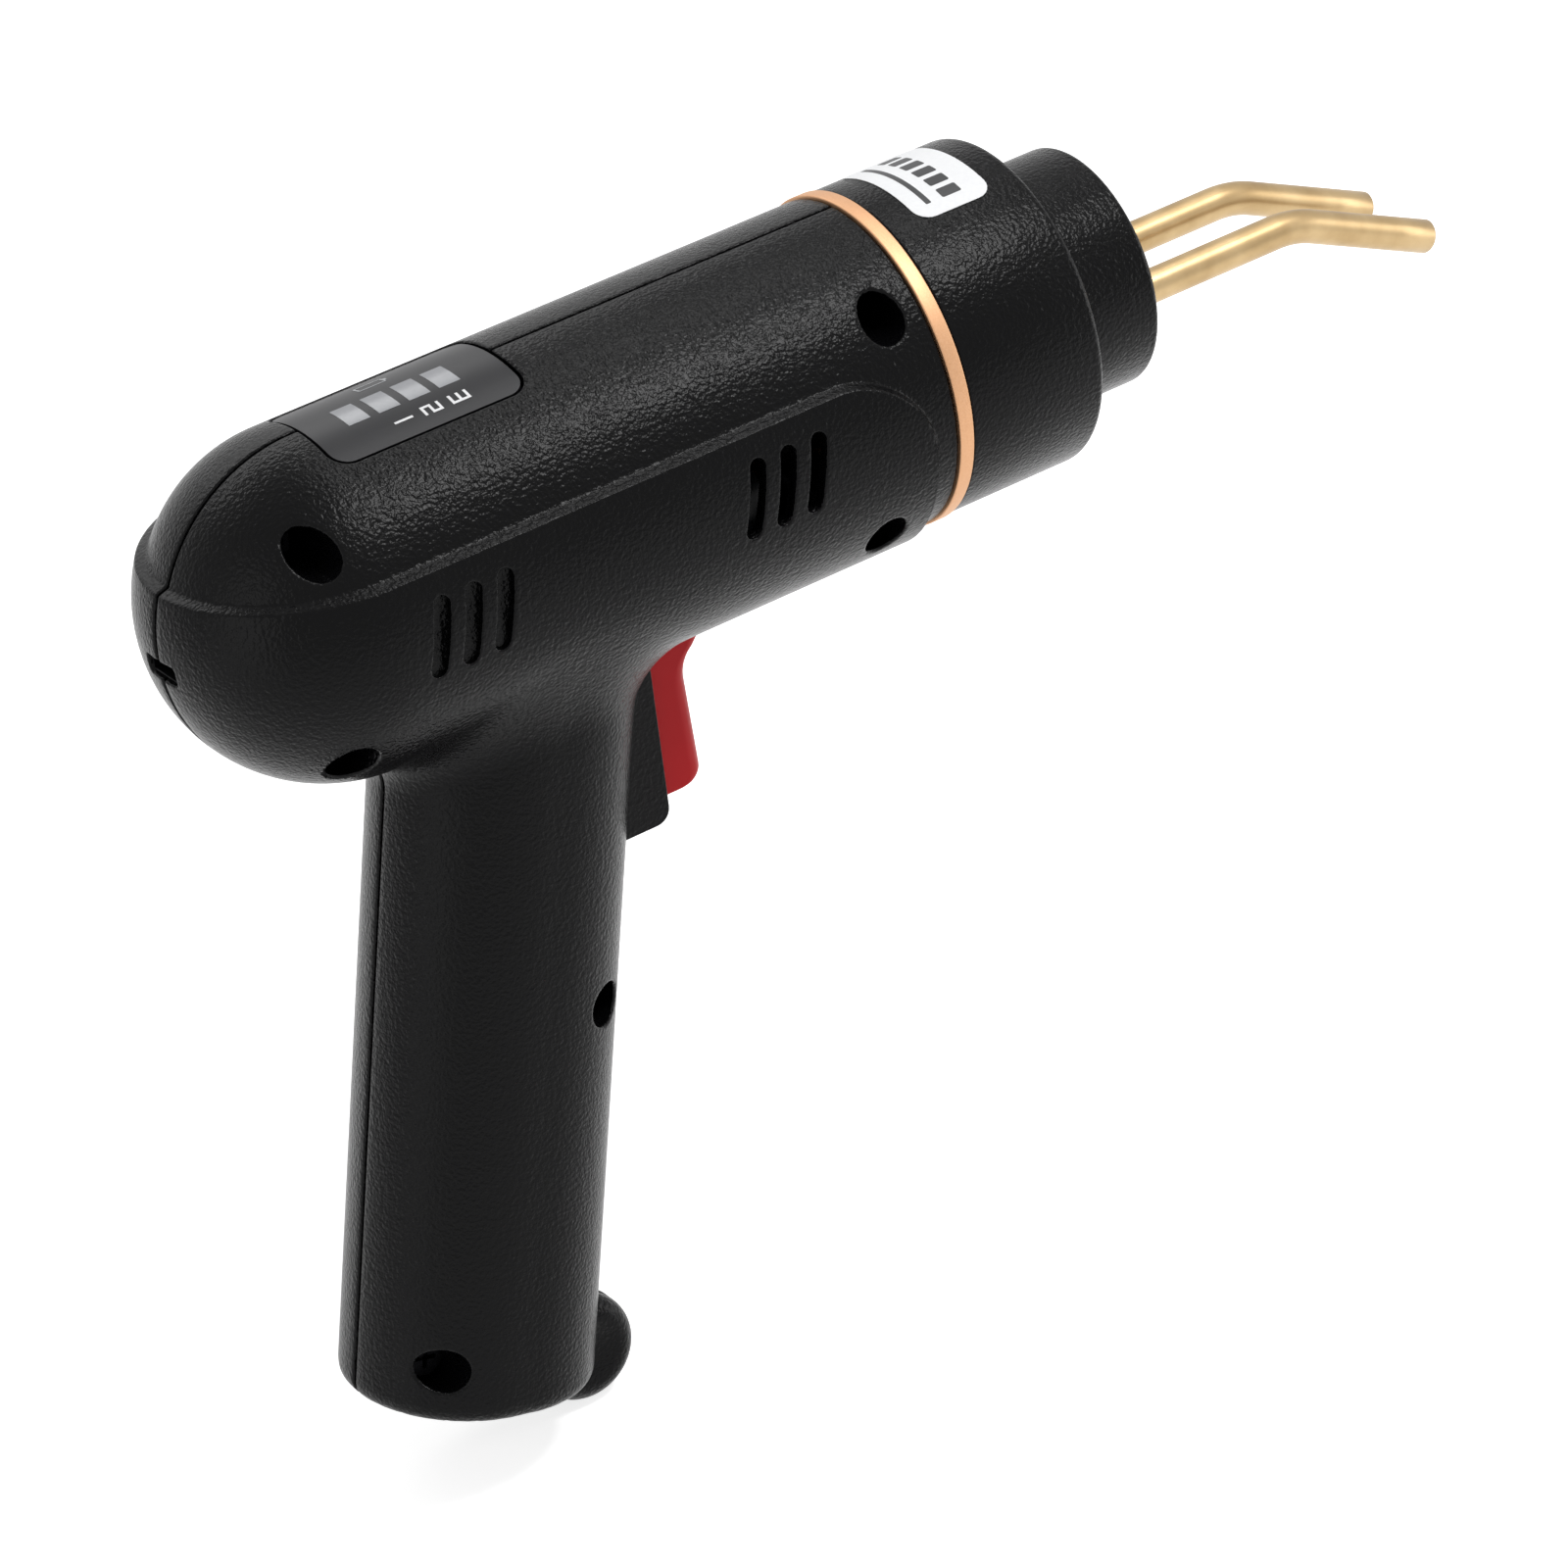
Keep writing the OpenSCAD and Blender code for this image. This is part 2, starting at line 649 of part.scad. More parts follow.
module cell_tabs() {
    back = -cells_front - cell_len;
    color("#c8cbd0") from_front() {
        block([back - 0.3, -cell_y - 3, cell_z - 2.5], [back, cell_y + 3, cell_z + 2.5]);
        block([-cells_front, -cell_y - 3, cell_z - 2.5], [-cells_front + 0.3, cell_y + 3, cell_z + 2.5]);
        in_grip() translate([grip_cell_a - 3, -2.5, -grip_cell_t]) cube([6, 5, 0.3]);
        in_grip() translate([grip_cell_a - 3, -2.5, -grip_cell_t - cell_len - 0.3]) cube([6, 5, 0.3]);
    }
}

/* ---- the charging inlet ---- */

module charge_board() {
    color("#17643f") from_front()
        block([-charge_back, -8, charge_top - board_t], [-charge_front, 8, charge_top]);
}

module charge_socket() {
    back = barrel_len + saddle_r - 0.9;
    color("#c4c7cc") from_front() difference() {
        translate([-charge_back + 1, 0, charge_z]) rotate([0, -90, 0])
            linear_extrude(back - charge_back + 1) round_rect(socket_h, socket_w, 0.4);
        translate([-charge_back - 1, 0, charge_z]) rotate([0, -90, 0])
            linear_extrude(10) round_rect(socket_h - 0.6, socket_w - 0.6, 0.25);
    }
}

module charge_wires() {
    x = -charge_front - 2;
    z = board_z + board_t / 2;
    color("#b3282d") from_front() for (y = [-3, 3]) translate([0, y, 0]) {
        translate([x, 0, charge_top]) cylinder(r = 0.6, h = z - charge_top);
        translate([x, 0, z]) sphere(0.6);
        translate([0, 0, z]) along_x(x, 0.6, -board_back - x);
    }
}

/* ---- the casing's screws ---- */

module casing_screws() {
    color("#6d7076") from_front() at_bosses() difference() {
        union() {
            along_y(-seat_y, screw_r, seat_y + 8);
            along_y(-seat_y - 2.2, 2.8, 2.2);
        }
        for (a = [0, 90]) rotate([0, a, 0]) block([-1.7, -seat_y - 3, -0.35], [1.7, -seat_y - 1, 0.35]);
    }
}

casing_right();
casing_left();
trim_ring();
nose_collar();
nose_label();
electrode_left();
electrode_right();
insulator_disc();
terminal_carrier();
terminal_blocks();
clamp_screws();
power_leads();
lead_lugs();
trigger();
trigger_spring();
switch_body();
switch_terminals();
switch_wires();
gauge_window();
gauge_board();
gauge_lights();
gauge_pins();
control_board();
power_mosfets();
heat_sink();
board_parts();
barrel_cells();
grip_cell();
cell_cradle();
cell_tabs();
charge_board();
charge_socket();
charge_wires();
casing_screws();
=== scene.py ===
import math

import bmesh
import bpy
import numpy as np
from mathutils import Matrix, Vector


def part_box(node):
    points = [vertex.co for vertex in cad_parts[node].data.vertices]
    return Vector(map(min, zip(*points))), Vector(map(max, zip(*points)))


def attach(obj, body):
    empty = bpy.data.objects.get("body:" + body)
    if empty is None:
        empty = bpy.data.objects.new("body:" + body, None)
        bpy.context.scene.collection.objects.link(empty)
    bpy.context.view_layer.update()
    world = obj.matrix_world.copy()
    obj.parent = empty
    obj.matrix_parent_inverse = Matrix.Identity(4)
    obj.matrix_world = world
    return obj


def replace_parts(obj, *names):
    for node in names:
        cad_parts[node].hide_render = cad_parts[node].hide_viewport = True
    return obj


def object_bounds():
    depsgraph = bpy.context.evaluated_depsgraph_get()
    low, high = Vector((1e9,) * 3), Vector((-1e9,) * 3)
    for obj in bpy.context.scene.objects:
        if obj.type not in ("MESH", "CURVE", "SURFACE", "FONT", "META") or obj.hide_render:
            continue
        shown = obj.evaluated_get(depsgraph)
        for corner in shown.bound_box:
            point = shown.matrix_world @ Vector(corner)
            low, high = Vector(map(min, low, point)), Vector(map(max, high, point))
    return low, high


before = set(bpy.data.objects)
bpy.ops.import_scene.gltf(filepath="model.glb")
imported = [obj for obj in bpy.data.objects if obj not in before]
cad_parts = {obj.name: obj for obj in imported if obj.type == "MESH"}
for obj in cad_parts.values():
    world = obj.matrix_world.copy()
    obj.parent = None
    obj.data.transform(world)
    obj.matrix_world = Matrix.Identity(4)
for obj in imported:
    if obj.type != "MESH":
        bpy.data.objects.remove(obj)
cad_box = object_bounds()

# ---- cells ----
# Three round lithium cells, two in the barrel and one in the grip, in shrunk sleeves. A sleeve is a thin
# PVC film shrunk on by heat. The cradle under them is a moulded frame of grey glass-filled nylon.


def linear(colour):
    """An sRGB hex colour as the linear red, green, blue and alpha that a shader takes."""
    parts = [int(colour[i:i + 2], 16) / 255 for i in (1, 3, 5)]
    return [c / 12.92 if c <= 0.04045 else ((c + 0.055) / 1.055) ** 2.4 for c in parts] + [1.0]


def add_node(finish, kind, inputs=None, **settings):
    """Adds a node to a finish and sets it. An input given as a node or a socket is linked."""
    made = finish.node_tree.nodes.new("ShaderNode" + kind)
    for name, value in settings.items():
        setattr(made, name, value)
    for name, value in (inputs or {}).items():
        if isinstance(value, bpy.types.ShaderNode):
            value = value.outputs[0]
        if isinstance(value, bpy.types.NodeSocket):
            finish.node_tree.links.new(value, made.inputs[name])
        else:
            made.inputs[name].default_value = value
    return made


def new_finish(name):
    """An empty finish, and the place of each point in metres, which its patterns are laid out by."""
    finish = bpy.data.materials.new(name)
    finish.use_nodes = True
    finish.node_tree.nodes.clear()
    return finish, add_node(finish, "TexCoord").outputs["Object"]


def dress(finish, *nodes):
    """Gives CAD nodes their finish."""
    for name in nodes:
        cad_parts[name].data.materials.clear()
        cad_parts[name].data.materials.append(finish)


# Shrunk PVC: black film, half glossy, with a slow ripple about 3 mm long where it drew tight
pvc_sleeve, place = new_finish("shrunk PVC sleeve")
ripple = add_node(pvc_sleeve, "TexNoise", {"Vector": place, "Scale": 1 / 0.003, "Detail": 1.0})
add_node(pvc_sleeve, "OutputMaterial", {"Surface": add_node(pvc_sleeve, "BsdfPrincipled", {
    "Base Color": add_node(pvc_sleeve, "MixRGB", {0: ripple, 1: linear("#101114"), 2: linear("#17191d")}),
    "Roughness": 0.32,
    "Normal": add_node(pvc_sleeve, "Bump", {"Height": ripple, "Strength": 0.3, "Distance": 0.0002})})})
dress(pvc_sleeve, "barrel_cells", "grip_cell")

# Glass-filled nylon: grey, dull, with faint flow marks from the moulding
filled_nylon, place = new_finish("moulded glass-filled nylon")
flow = add_node(filled_nylon, "TexNoise", {"Vector": place, "Scale": 1 / 0.0015, "Detail": 3.0})
add_node(filled_nylon, "OutputMaterial", {"Surface": add_node(filled_nylon, "BsdfPrincipled", {
    "Base Color": add_node(filled_nylon, "MixRGB", {0: flow, 1: linear("#4c4f54"), 2: linear("#606369")}),
    "Roughness": 0.6,
    "Normal": add_node(filled_nylon, "Bump", {"Height": flow, "Strength": 0.2, "Distance": 0.00005})})})
dress(filled_nylon, "cell_cradle")

# Nickel strip: rolled and bright, with rolling lines 9 to the millimetre. The switch's terminals are the same
nickel_strip, place = new_finish("rolled nickel strip")
rolling = add_node(nickel_strip, "TexNoise", {
    "Vector": add_node(nickel_strip, "VectorMath", {0: place, 1: (0.4 / 0.001, 9 / 0.001, 9 / 0.001)},
                       operation="MULTIPLY"),
    "Scale": 1.0, "Detail": 2.0})
add_node(nickel_strip, "OutputMaterial", {"Surface": add_node(nickel_strip, "BsdfPrincipled", {
    "Base Color": linear("#c9ccd0"), "Metallic": 1.0,
    "Roughness": add_node(nickel_strip, "MapRange", {"Value": rolling, "To Min": 0.2, "To Max": 0.38}),
    "Normal": add_node(nickel_strip, "Bump", {"Height": rolling, "Strength": 0.15, "Distance": 0.00002})})})
dress(nickel_strip, "cell_tabs", "switch_terminals")

# ---- boards ----
# The control board lies across the barrel, and smaller boards carry the gauge and the charging socket. Each
# is woven glass and epoxy under green solder mask, with black moulded chips and a finned aluminium sink.

# Solder mask: deep green, with the glass weave showing through about every 0.5 mm. A wave of scale 1 has
# 3.1 bands to the metre, so the pitch is divided by that.
solder_mask, place = new_finish("green solder mask over woven glass")
wave_bands = 3.1
weave = [add_node(solder_mask, "TexWave", {
    "Vector": place, "Scale": 1 / 0.0005 / wave_bands, "Distortion": 0.4}, bands_direction=way)
         for way in ("X", "Y")]
cloth = add_node(solder_mask, "Math", {0: weave[0].outputs["Fac"], 1: weave[1].outputs["Fac"]},
                 operation="MULTIPLY")
add_node(solder_mask, "OutputMaterial", {"Surface": add_node(solder_mask, "BsdfPrincipled", {
    "Base Color": add_node(solder_mask, "MixRGB", {0: cloth, 1: linear("#0a2f1d"), 2: linear("#0f4029")}),
    "Roughness": 0.28,
    "Normal": add_node(solder_mask, "Bump", {"Height": cloth, "Strength": 0.15, "Distance": 0.00002})})})
dress(solder_mask, "control_board", "gauge_board", "charge_board")

# Moulded epoxy: black, matte, with the fine pits of a chip's case
chip_epoxy, place = new_finish("moulded chip epoxy")
pits = add_node(chip_epoxy, "TexNoise", {"Vector": place, "Scale": 1 / 0.0003, "Detail": 2.0})
add_node(chip_epoxy, "OutputMaterial", {"Surface": add_node(chip_epoxy, "BsdfPrincipled", {
    "Base Color": add_node(chip_epoxy, "MixRGB", {0: pits, 1: linear("#1c1d20"), 2: linear("#2c2e32")}),
    "Roughness": 0.62,
    "Normal": add_node(chip_epoxy, "Bump", {"Height": pits, "Strength": 0.3, "Distance": 0.00003})})})
dress(chip_epoxy, "power_mosfets", "board_parts")

# Extruded aluminium: pale grey, with straight die lines along the fins, 6 to the millimetre
extruded_sink, place = new_finish("extruded aluminium")
die_lines = add_node(extruded_sink, "TexNoise", {
    "Vector": add_node(extruded_sink, "VectorMath", {0: place, 1: (0.15 / 0.001, 6 / 0.001, 6 / 0.001)},
                       operation="MULTIPLY"),
    "Scale": 1.0, "Detail": 2.0})
add_node(extruded_sink, "OutputMaterial", {"Surface": add_node(extruded_sink, "BsdfPrincipled", {
    "Base Color": linear("#c3c6cb"), "Metallic": 1.0,
    "Roughness": add_node(extruded_sink, "MapRange", {"Value": die_lines, "To Min": 0.3, "To Max": 0.5})})})
dress(extruded_sink, "heat_sink")

# Clear epoxy lamps: milky white and smooth, slightly uneven inside
lamp_epoxy, place = new_finish("cast lamp epoxy")
cloud = add_node(lamp_epoxy, "TexNoise", {"Vector": place, "Scale": 1 / 0.002, "Detail": 2.0})
add_node(lamp_epoxy, "OutputMaterial", {"Surface": add_node(lamp_epoxy, "BsdfPrincipled", {
    "Base Color": add_node(lamp_epoxy, "MixRGB", {0: cloud, 1: linear("#cfd2d6"), 2: linear("#e4e6e9")}),
    "Roughness": 0.25})})
dress(lamp_epoxy, "gauge_lights")

# ---- leads ----
# Heavy black silicone leads run from the board's copper lugs to the clamps, and thin ones from the charging
# board and the switch. Silicone is extruded: satin, slightly dusty, with a slow wave in its gloss.
silicone_lead, place = new_finish("extruded silicone lead")
dusting = add_node(silicone_lead, "TexNoise", {"Vector": place, "Scale": 1 / 0.001, "Detail": 3.0})
add_node(silicone_lead, "OutputMaterial", {"Surface": add_node(silicone_lead, "BsdfPrincipled", {
    "Base Color": add_node(silicone_lead, "MixRGB", {0: dusting, 1: linear("#121214"), 2: linear("#1c1c1f")}),
    "Roughness": add_node(silicone_lead, "MapRange", {"Value": dusting, "To Min": 0.45, "To Max": 0.6})})})
dress(silicone_lead, "power_leads", "charge_wires", "switch_wires")

# Rolled copper: warm and half bright, dulled in patches by handling
rolled_copper, place = new_finish("rolled copper")
dulling = add_node(rolled_copper, "TexNoise", {"Vector": place, "Scale": 1 / 0.002, "Detail": 3.0})
add_node(rolled_copper, "OutputMaterial", {"Surface": add_node(rolled_copper, "BsdfPrincipled", {
    "Base Color": add_node(rolled_copper, "MixRGB", {0: dulling, 1: linear("#a5603c"), 2: linear("#c77a50")}),
    "Metallic": 1.0,
    "Roughness": add_node(rolled_copper, "MapRange", {"Value": dulling, "To Min": 0.28, "To Max": 0.45})})})
dress(rolled_copper, "lead_lugs")

# ---- electrodes ----
# Two drawn brass rods, bent down at the nose, with a blind socket in each tip for the staple. Brass blocks
# with grub screws clamp them on a phenolic carrier, and a ceramic disc keeps the heat off the casing.
front_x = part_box("casing_right")[1].x
nose_x, rod_r, rod_pitch, rod_z = 39.9, 2.5, 15.0, -3.4
bend_x, bend_r, bend_angle, tip_len = nose_x + 27.6, 16.0, math.radians(25), 22.0
socket_r, socket_len, socket_edge, socket_lead, tip_edge = 0.65, 8.0, 0.12, 0.15, 0.45


def ring_of(work, middle, across, up, radius, sides):
    """A ring of vertices around a point, in the plane of two directions."""
    turns = [2 * math.pi * k / sides for k in range(sides)]
    return [work.verts.new(middle + (across * math.cos(t) + up * math.sin(t)) * radius) for t in turns]


def skin_over(work, rings):
    """Joins each ring of vertices to the next by a band of quads."""
    for a, b in zip(rings, rings[1:]):
        for k in range(len(a)):
            n = (k + 1) % len(a)
            work.faces.new((a[k], a[n], b[n], b[k]))


def finished(name, work, finish, body="gun", sharp=35):
    """Turns a worked mesh, in millimetres from the casing's front, into a piece in the frame's metres."""
    bmesh.ops.recalc_face_normals(work, faces=work.faces[:])
    work.transform(Matrix.Translation((front_x, 0, 0)) @ Matrix.Scale(0.001, 4))
    mesh = bpy.data.meshes.new(name)
    work.to_mesh(mesh)
    work.free()
    mesh.polygons.foreach_set("use_smooth", [True] * len(mesh.polygons))
    mesh.set_sharp_from_angle(angle=math.radians(sharp))
    mesh.materials.append(finish)
    piece = bpy.data.objects.new(name, mesh)
    bpy.context.scene.collection.objects.link(piece)
    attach(piece, body)
    return piece


# Drawn brass: warm and satin, with the die's lines along the rod, 4.5 to the millimetre, and duller patches
drawn_brass, place = new_finish("drawn brass")
draw_lines = add_node(drawn_brass, "TexNoise", {
    "Vector": add_node(drawn_brass, "VectorMath", {0: place, 1: (0.12 / 0.001, 4.5 / 0.001, 4.5 / 0.001)},
                       operation="MULTIPLY"),
    "Scale": 1.0, "Detail": 3.0, "Roughness": 0.6})
tarnish = add_node(drawn_brass, "TexNoise", {"Vector": place, "Scale": 1 / 0.006, "Detail": 4.0})
add_node(drawn_brass, "OutputMaterial", {"Surface": add_node(drawn_brass, "BsdfPrincipled", {
    "Base Color": add_node(drawn_brass, "MixRGB", {
        0: add_node(drawn_brass, "MapRange", {"Value": tarnish, "From Min": 0.35, "From Max": 0.7}),
        1: linear("#bba27a"), 2: linear("#a68c64")}),
    "Metallic": 1.0,
    "Roughness": add_node(drawn_brass, "MapRange", {"Value": draw_lines, "To Min": 0.3, "To Max": 0.44}),
    "Normal": add_node(drawn_brass, "Bump", {"Height": draw_lines, "Strength": 0.22, "Distance": 0.00004})})})

for side, name in ((1, "electrode_left"), (-1, "electrode_right")):
    rod = bmesh.new()
    y = Vector((0, side * rod_pitch / 2, 0))
    middle = [(Vector((x, 0, rod_z)), 0.0)
              for x in (0.2, nose_x - 3, nose_x, nose_x + 8, nose_x + 18, bend_x)]
    hub = Vector((bend_x, 0, rod_z - bend_r))
    for a in np.linspace(0, bend_angle, 13)[1:]:
        middle.append((hub + Vector((math.sin(a), 0, math.cos(a))) * bend_r, a))
    ahead = Vector((math.cos(bend_angle), 0, -math.sin(bend_angle)))
    last = middle[-1][0]
    middle += [(last + ahead * d, bend_angle) for d in (7, 15, tip_len - tip_edge)]
    radii = [rod_r] * len(middle)
    for back, inward in ((0.55, 0.29), (0.2, 0.58), (0.0, 1.0)):
        middle.append((last + ahead * (tip_len - back * tip_edge), bend_angle))
        radii.append(rod_r - inward * tip_edge)
    for depth, radius in ((0, socket_r + socket_edge), (socket_lead, socket_r), (socket_len, socket_r)):
        middle.append((last + ahead * (tip_len - depth), bend_angle))
        radii.append(radius)
    rings = [ring_of(rod, m + y, Vector((0, 1, 0)), Vector((math.sin(a), 0, math.cos(a))), r, 40)
             for (m, a), r in zip(middle, radii)]
    skin_over(rod, rings)
    rod.faces.new(rings[0])
    rod.faces.new(rings[-1])
    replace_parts(finished(name + "_rod", rod, drawn_brass), name)
dress(drawn_brass, "terminal_blocks", "gauge_pins")

# Zinc-plated steel: cool grey, bright on the flats and slightly cloudy from the plating bath
zinc_steel, place = new_finish("zinc-plated steel")
plating = add_node(zinc_steel, "TexNoise", {"Vector": place, "Scale": 1 / 0.0012, "Detail": 3.0})
add_node(zinc_steel, "OutputMaterial", {"Surface": add_node(zinc_steel, "BsdfPrincipled", {
    "Base Color": add_node(zinc_steel, "MixRGB", {0: plating, 1: linear("#8d9096"), 2: linear("#a9acb2")}),
    "Metallic": 1.0,
    "Roughness": add_node(zinc_steel, "MapRange", {"Value": plating, "To Min": 0.25, "To Max": 0.42})})})
dress(zinc_steel, "clamp_screws", "trigger_spring")

# Black oxide on steel: nearly black, dull, with the faint bloom the bath leaves, so it is lost in deep holes.
# On the charging socket this near-black is painted shade, which makes its slot read as a black hole
oxide_and_painted_shade, place = new_finish("black oxide on steel")
bloom = add_node(oxide_and_painted_shade, "TexNoise", {"Vector": place, "Scale": 1 / 0.001, "Detail": 3.0})
add_node(oxide_and_painted_shade, "OutputMaterial", {"Surface": add_node(oxide_and_painted_shade, "BsdfPrincipled", {
    "Base Color": add_node(oxide_and_painted_shade, "MixRGB", {0: bloom, 1: linear("#151517"), 2: linear("#232326")}),
    "Metallic": 1.0,
    "Roughness": add_node(oxide_and_painted_shade, "MapRange", {"Value": bloom, "To Min": 0.4, "To Max": 0.55})})})
# The charging socket takes this near-black as painted shade in its slot
dress(oxide_and_painted_shade, "casing_screws", "charge_socket")

# Fired alumina: off-white, dry and faintly sandy
fired_alumina, place = new_finish("fired alumina")
sand = add_node(fired_alumina, "TexNoise", {"Vector": place, "Scale": 1 / 0.0004, "Detail": 3.0})
add_node(fired_alumina, "OutputMaterial", {"Surface": add_node(fired_alumina, "BsdfPrincipled", {
    "Base Color": add_node(fired_alumina, "MixRGB", {0: sand, 1: linear("#d9d3c5"), 2: linear("#ebe6da")}),
    "Roughness": 0.7,
    "Normal": add_node(fired_alumina, "Bump", {"Height": sand, "Strength": 0.25, "Distance": 0.00004})})})
dress(fired_alumina, "insulator_disc")

# Phenolic paper board: brown, half dull, with streaks of the paper 5 mm long
phenolic, place = new_finish("pressed phenolic paper")
streaks = add_node(phenolic, "TexNoise", {
    "Vector": add_node(phenolic, "VectorMath", {0: place, 1: (0.2 / 0.001, 1.5 / 0.001, 6 / 0.001)},
                       operation="MULTIPLY"),
    "Scale": 1.0, "Detail": 3.0})
add_node(phenolic, "OutputMaterial", {"Surface": add_node(phenolic, "BsdfPrincipled", {
    "Base Color": add_node(phenolic, "MixRGB", {0: streaks, 1: linear("#9a6f3d"), 2: linear("#b98a4e")}),
    "Roughness": 0.5})})
dress(phenolic, "terminal_carrier")

# ---- nose ----
# The collar and the stepped nozzle are one moulding of black heat-resistant nylon, with a spigot that the
# casing halves close on. The rods come out through two round holes in its flat front.
ring_w, collar_len, collar_r, nozzle_r, spigot_r = 2.6, 22.8, 24.7, 18.0, 19.5
hole_gap, hole_edge, front_wall, side_wall, spigot_len, spigot_out = 0.1, 0.35, 3.0, 2.5, 18.0, 22.3
step_x, bore_r, inset_r = ring_w + collar_len, nozzle_r - side_wall, 12.0


def rounded(corners):
    """An outline whose corners, each given as (x, y, radius), are rounded."""
    line = []
    for i, (x, y, radius) in enumerate(corners):
        here, before = Vector((x, y)), Vector(corners[i - 1][:2])
        after = Vector(corners[(i + 1) % len(corners)][:2])
        if not radius:
            line.append(here)
            continue
        a, b = (before - here).normalized(), (after - here).normalized()
        half = a.angle(b) / 2
        hub = here + (a + b).normalized() * radius / math.sin(half)
        reach = radius / math.tan(half)
        start, stop = here + a * reach - hub, here + b * reach - hub
        turn = start.angle_signed(stop)
        steps = max(2, round(abs(turn) / math.radians(15)))
        for k in range(steps + 1):
            c, s = math.cos(-turn * k / steps), math.sin(-turn * k / steps)
            line.append(hub + Vector((start.x * c - start.y * s, start.x * s + start.y * c)))
    return line


def turn_rings(work, outline, sides):
    """Spins (x, radius) points about the barrel's axis and returns their rings."""
    return [ring_of(work, Vector((x, 0, 0)), Vector((0, 1, 0)), Vector((0, 0, 1)), r, sides)
            for x, r in outline]


# Moulded nylon: black, softly glossy, with the pebbled grain of a spark-eroded mould, drawn coarse at 0.6 mm
black_nylon, place = new_finish("black moulded nylon, spark-eroded grain")
nylon_grain = add_node(black_nylon, "TexNoise", {"Vector": place, "Scale": 1 / 0.0006, "Detail": 1.0})
nylon_cloud = add_node(black_nylon, "TexNoise", {"Vector": place, "Scale": 1 / 0.012, "Detail": 2.0})
add_node(black_nylon, "OutputMaterial", {"Surface": add_node(black_nylon, "BsdfPrincipled", {
    "Base Color": linear("#050506"), "Specular IOR Level": 0.11,
    "Roughness": add_node(black_nylon, "MapRange", {"Value": nylon_cloud, "To Min": 0.22, "To Max": 0.3}),
    "Normal": add_node(black_nylon, "Bump", {"Height": nylon_grain, "Strength": 1.0, "Distance": 0.00015})})})


def cut_out(piece, tool):
    """Cuts the shape of a tool out of a piece, and puts the tool away."""
    cut = piece.modifiers.new("cut", "BOOLEAN")
    cut.operation, cut.object, cut.solver = "DIFFERENCE", tool, "EXACT"
    bpy.context.view_layer.objects.active = piece
    bpy.ops.object.modifier_apply(modifier="cut")
    bpy.data.objects.remove(tool)


nose = bmesh.new()
outside = rounded([
    (nose_x, nozzle_r, 1.0), (step_x, nozzle_r, 0.5), (step_x, collar_r, 1.3), (ring_w + 0.1, collar_r, 0.3),
    (ring_w + 0.1, spigot_out, 0), (-spigot_len, spigot_out, 0.3), (-spigot_len, spigot_r, 0.3),
    (step_x - side_wall, spigot_r, 0.5), (step_x - side_wall, bore_r, 0.5),
    (nose_x - front_wall, bore_r, 0.5), (nose_x - front_wall, inset_r, 0), (nose_x, inset_r, 0)])
rings = turn_rings(nose, outside, 144)
skin_over(nose, rings[:-1])
front_ring, back_ring = rings[-1], rings[-2]
skin_over(nose, [rings[0], front_ring])
bores = []
for side in (-1, 1):
    centre = Vector((0, side * rod_pitch / 2, rod_z))
    bores.append([ring_of(nose, centre + Vector((nose_x - deep, 0, 0)), Vector((0, 1, 0)), Vector((0, 0, 1)),
                          rod_r + hole_gap + wider, 48)
                  for deep, wider in ((0, hole_edge), (0.08, 0.15), (hole_edge, 0), (front_wall, 0))])
    skin_over(nose, bores[-1])
for rim, end in ((front_ring, 0), (back_ring, -1)):
    loops = [rim] + [bore[end] for bore in bores]
    lines = [nose.edges.get((a, b)) for loop in loops for a, b in zip(loop, loop[1:] + loop[:1])]
    bmesh.ops.triangle_fill(nose, use_beauty=True, edges=lines)
moulding = finished("nose_moulding", nose, black_nylon)

# The casing's two front screw bosses, in (x, z), pass through notches in the spigot
front_bosses, notch_r, notch_reach = [(-6.1, 15.4), (-11.7, -16.0)], 4.6, 24
for x, z in front_bosses:
    notch = bmesh.new()
    ends = [ring_of(notch, Vector((x, y, z)), Vector((1, 0, 0)), Vector((0, 0, 1)), notch_r, 40)
            for y in (-notch_reach, notch_reach)]
    skin_over(notch, ends)
    for end in ends:
        notch.faces.new(end)
    cut_out(moulding, finished("boss_notch", notch, black_nylon))
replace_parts(moulding, "nose_collar")

# ---- label ----
# A white coated paper sticker lies round the collar's top, held by its own glue. It is printed in dark grey
# ink with six plain blocks and a bar.
label_back, label_len, label_half_w, label_corner, label_t = ring_w + 5, 12.5, 11.0, 2.6, 0.1
label_mid_x, label_r = label_back + label_len / 2, collar_r + 0.02


def wrapped_patch(work, outline, radius, thick):
    """A sheet of that outline, in (along, around), laid on a barrel of that radius, with its thickness."""
    xs, ys = [p.x for p in outline], [p.y for p in outline]
    sheet = bmesh.new()
    sheet.faces.new([sheet.verts.new((p.x, p.y, 0)) for p in outline])
    step = 0.8
    for k in range(int(math.ceil((max(ys) - min(ys)) / step))):
        cut = min(ys) + step * (k + 0.5)
        bmesh.ops.bisect_plane(sheet, geom=sheet.verts[:] + sheet.edges[:] + sheet.faces[:],
                               plane_co=(0, cut, 0), plane_no=(0, 1, 0))
    skins = []
    for r in (radius, radius + thick):
        seat = {v: work.verts.new((v.co.x, r * math.sin(v.co.y / radius), r * math.cos(v.co.y / radius)))
                for v in sheet.verts}
        for f in sheet.faces:
            work.faces.new([seat[v] for v in f.verts])
        skins.append(seat)
    for e in sheet.edges:
        if e.is_boundary:
            a, b = e.verts
            work.faces.new((skins[0][a], skins[0][b], skins[1][b], skins[1][a]))
    sheet.free()


def panel(x, y, length, width, corner):
    """A rounded outline of that middle and size, in (along, around)."""
    a, b = length / 2, width / 2
    return rounded([(x + i * a, y + j * b, corner) for i, j in ((-1, -1), (1, -1), (1, 1), (-1, 1))])


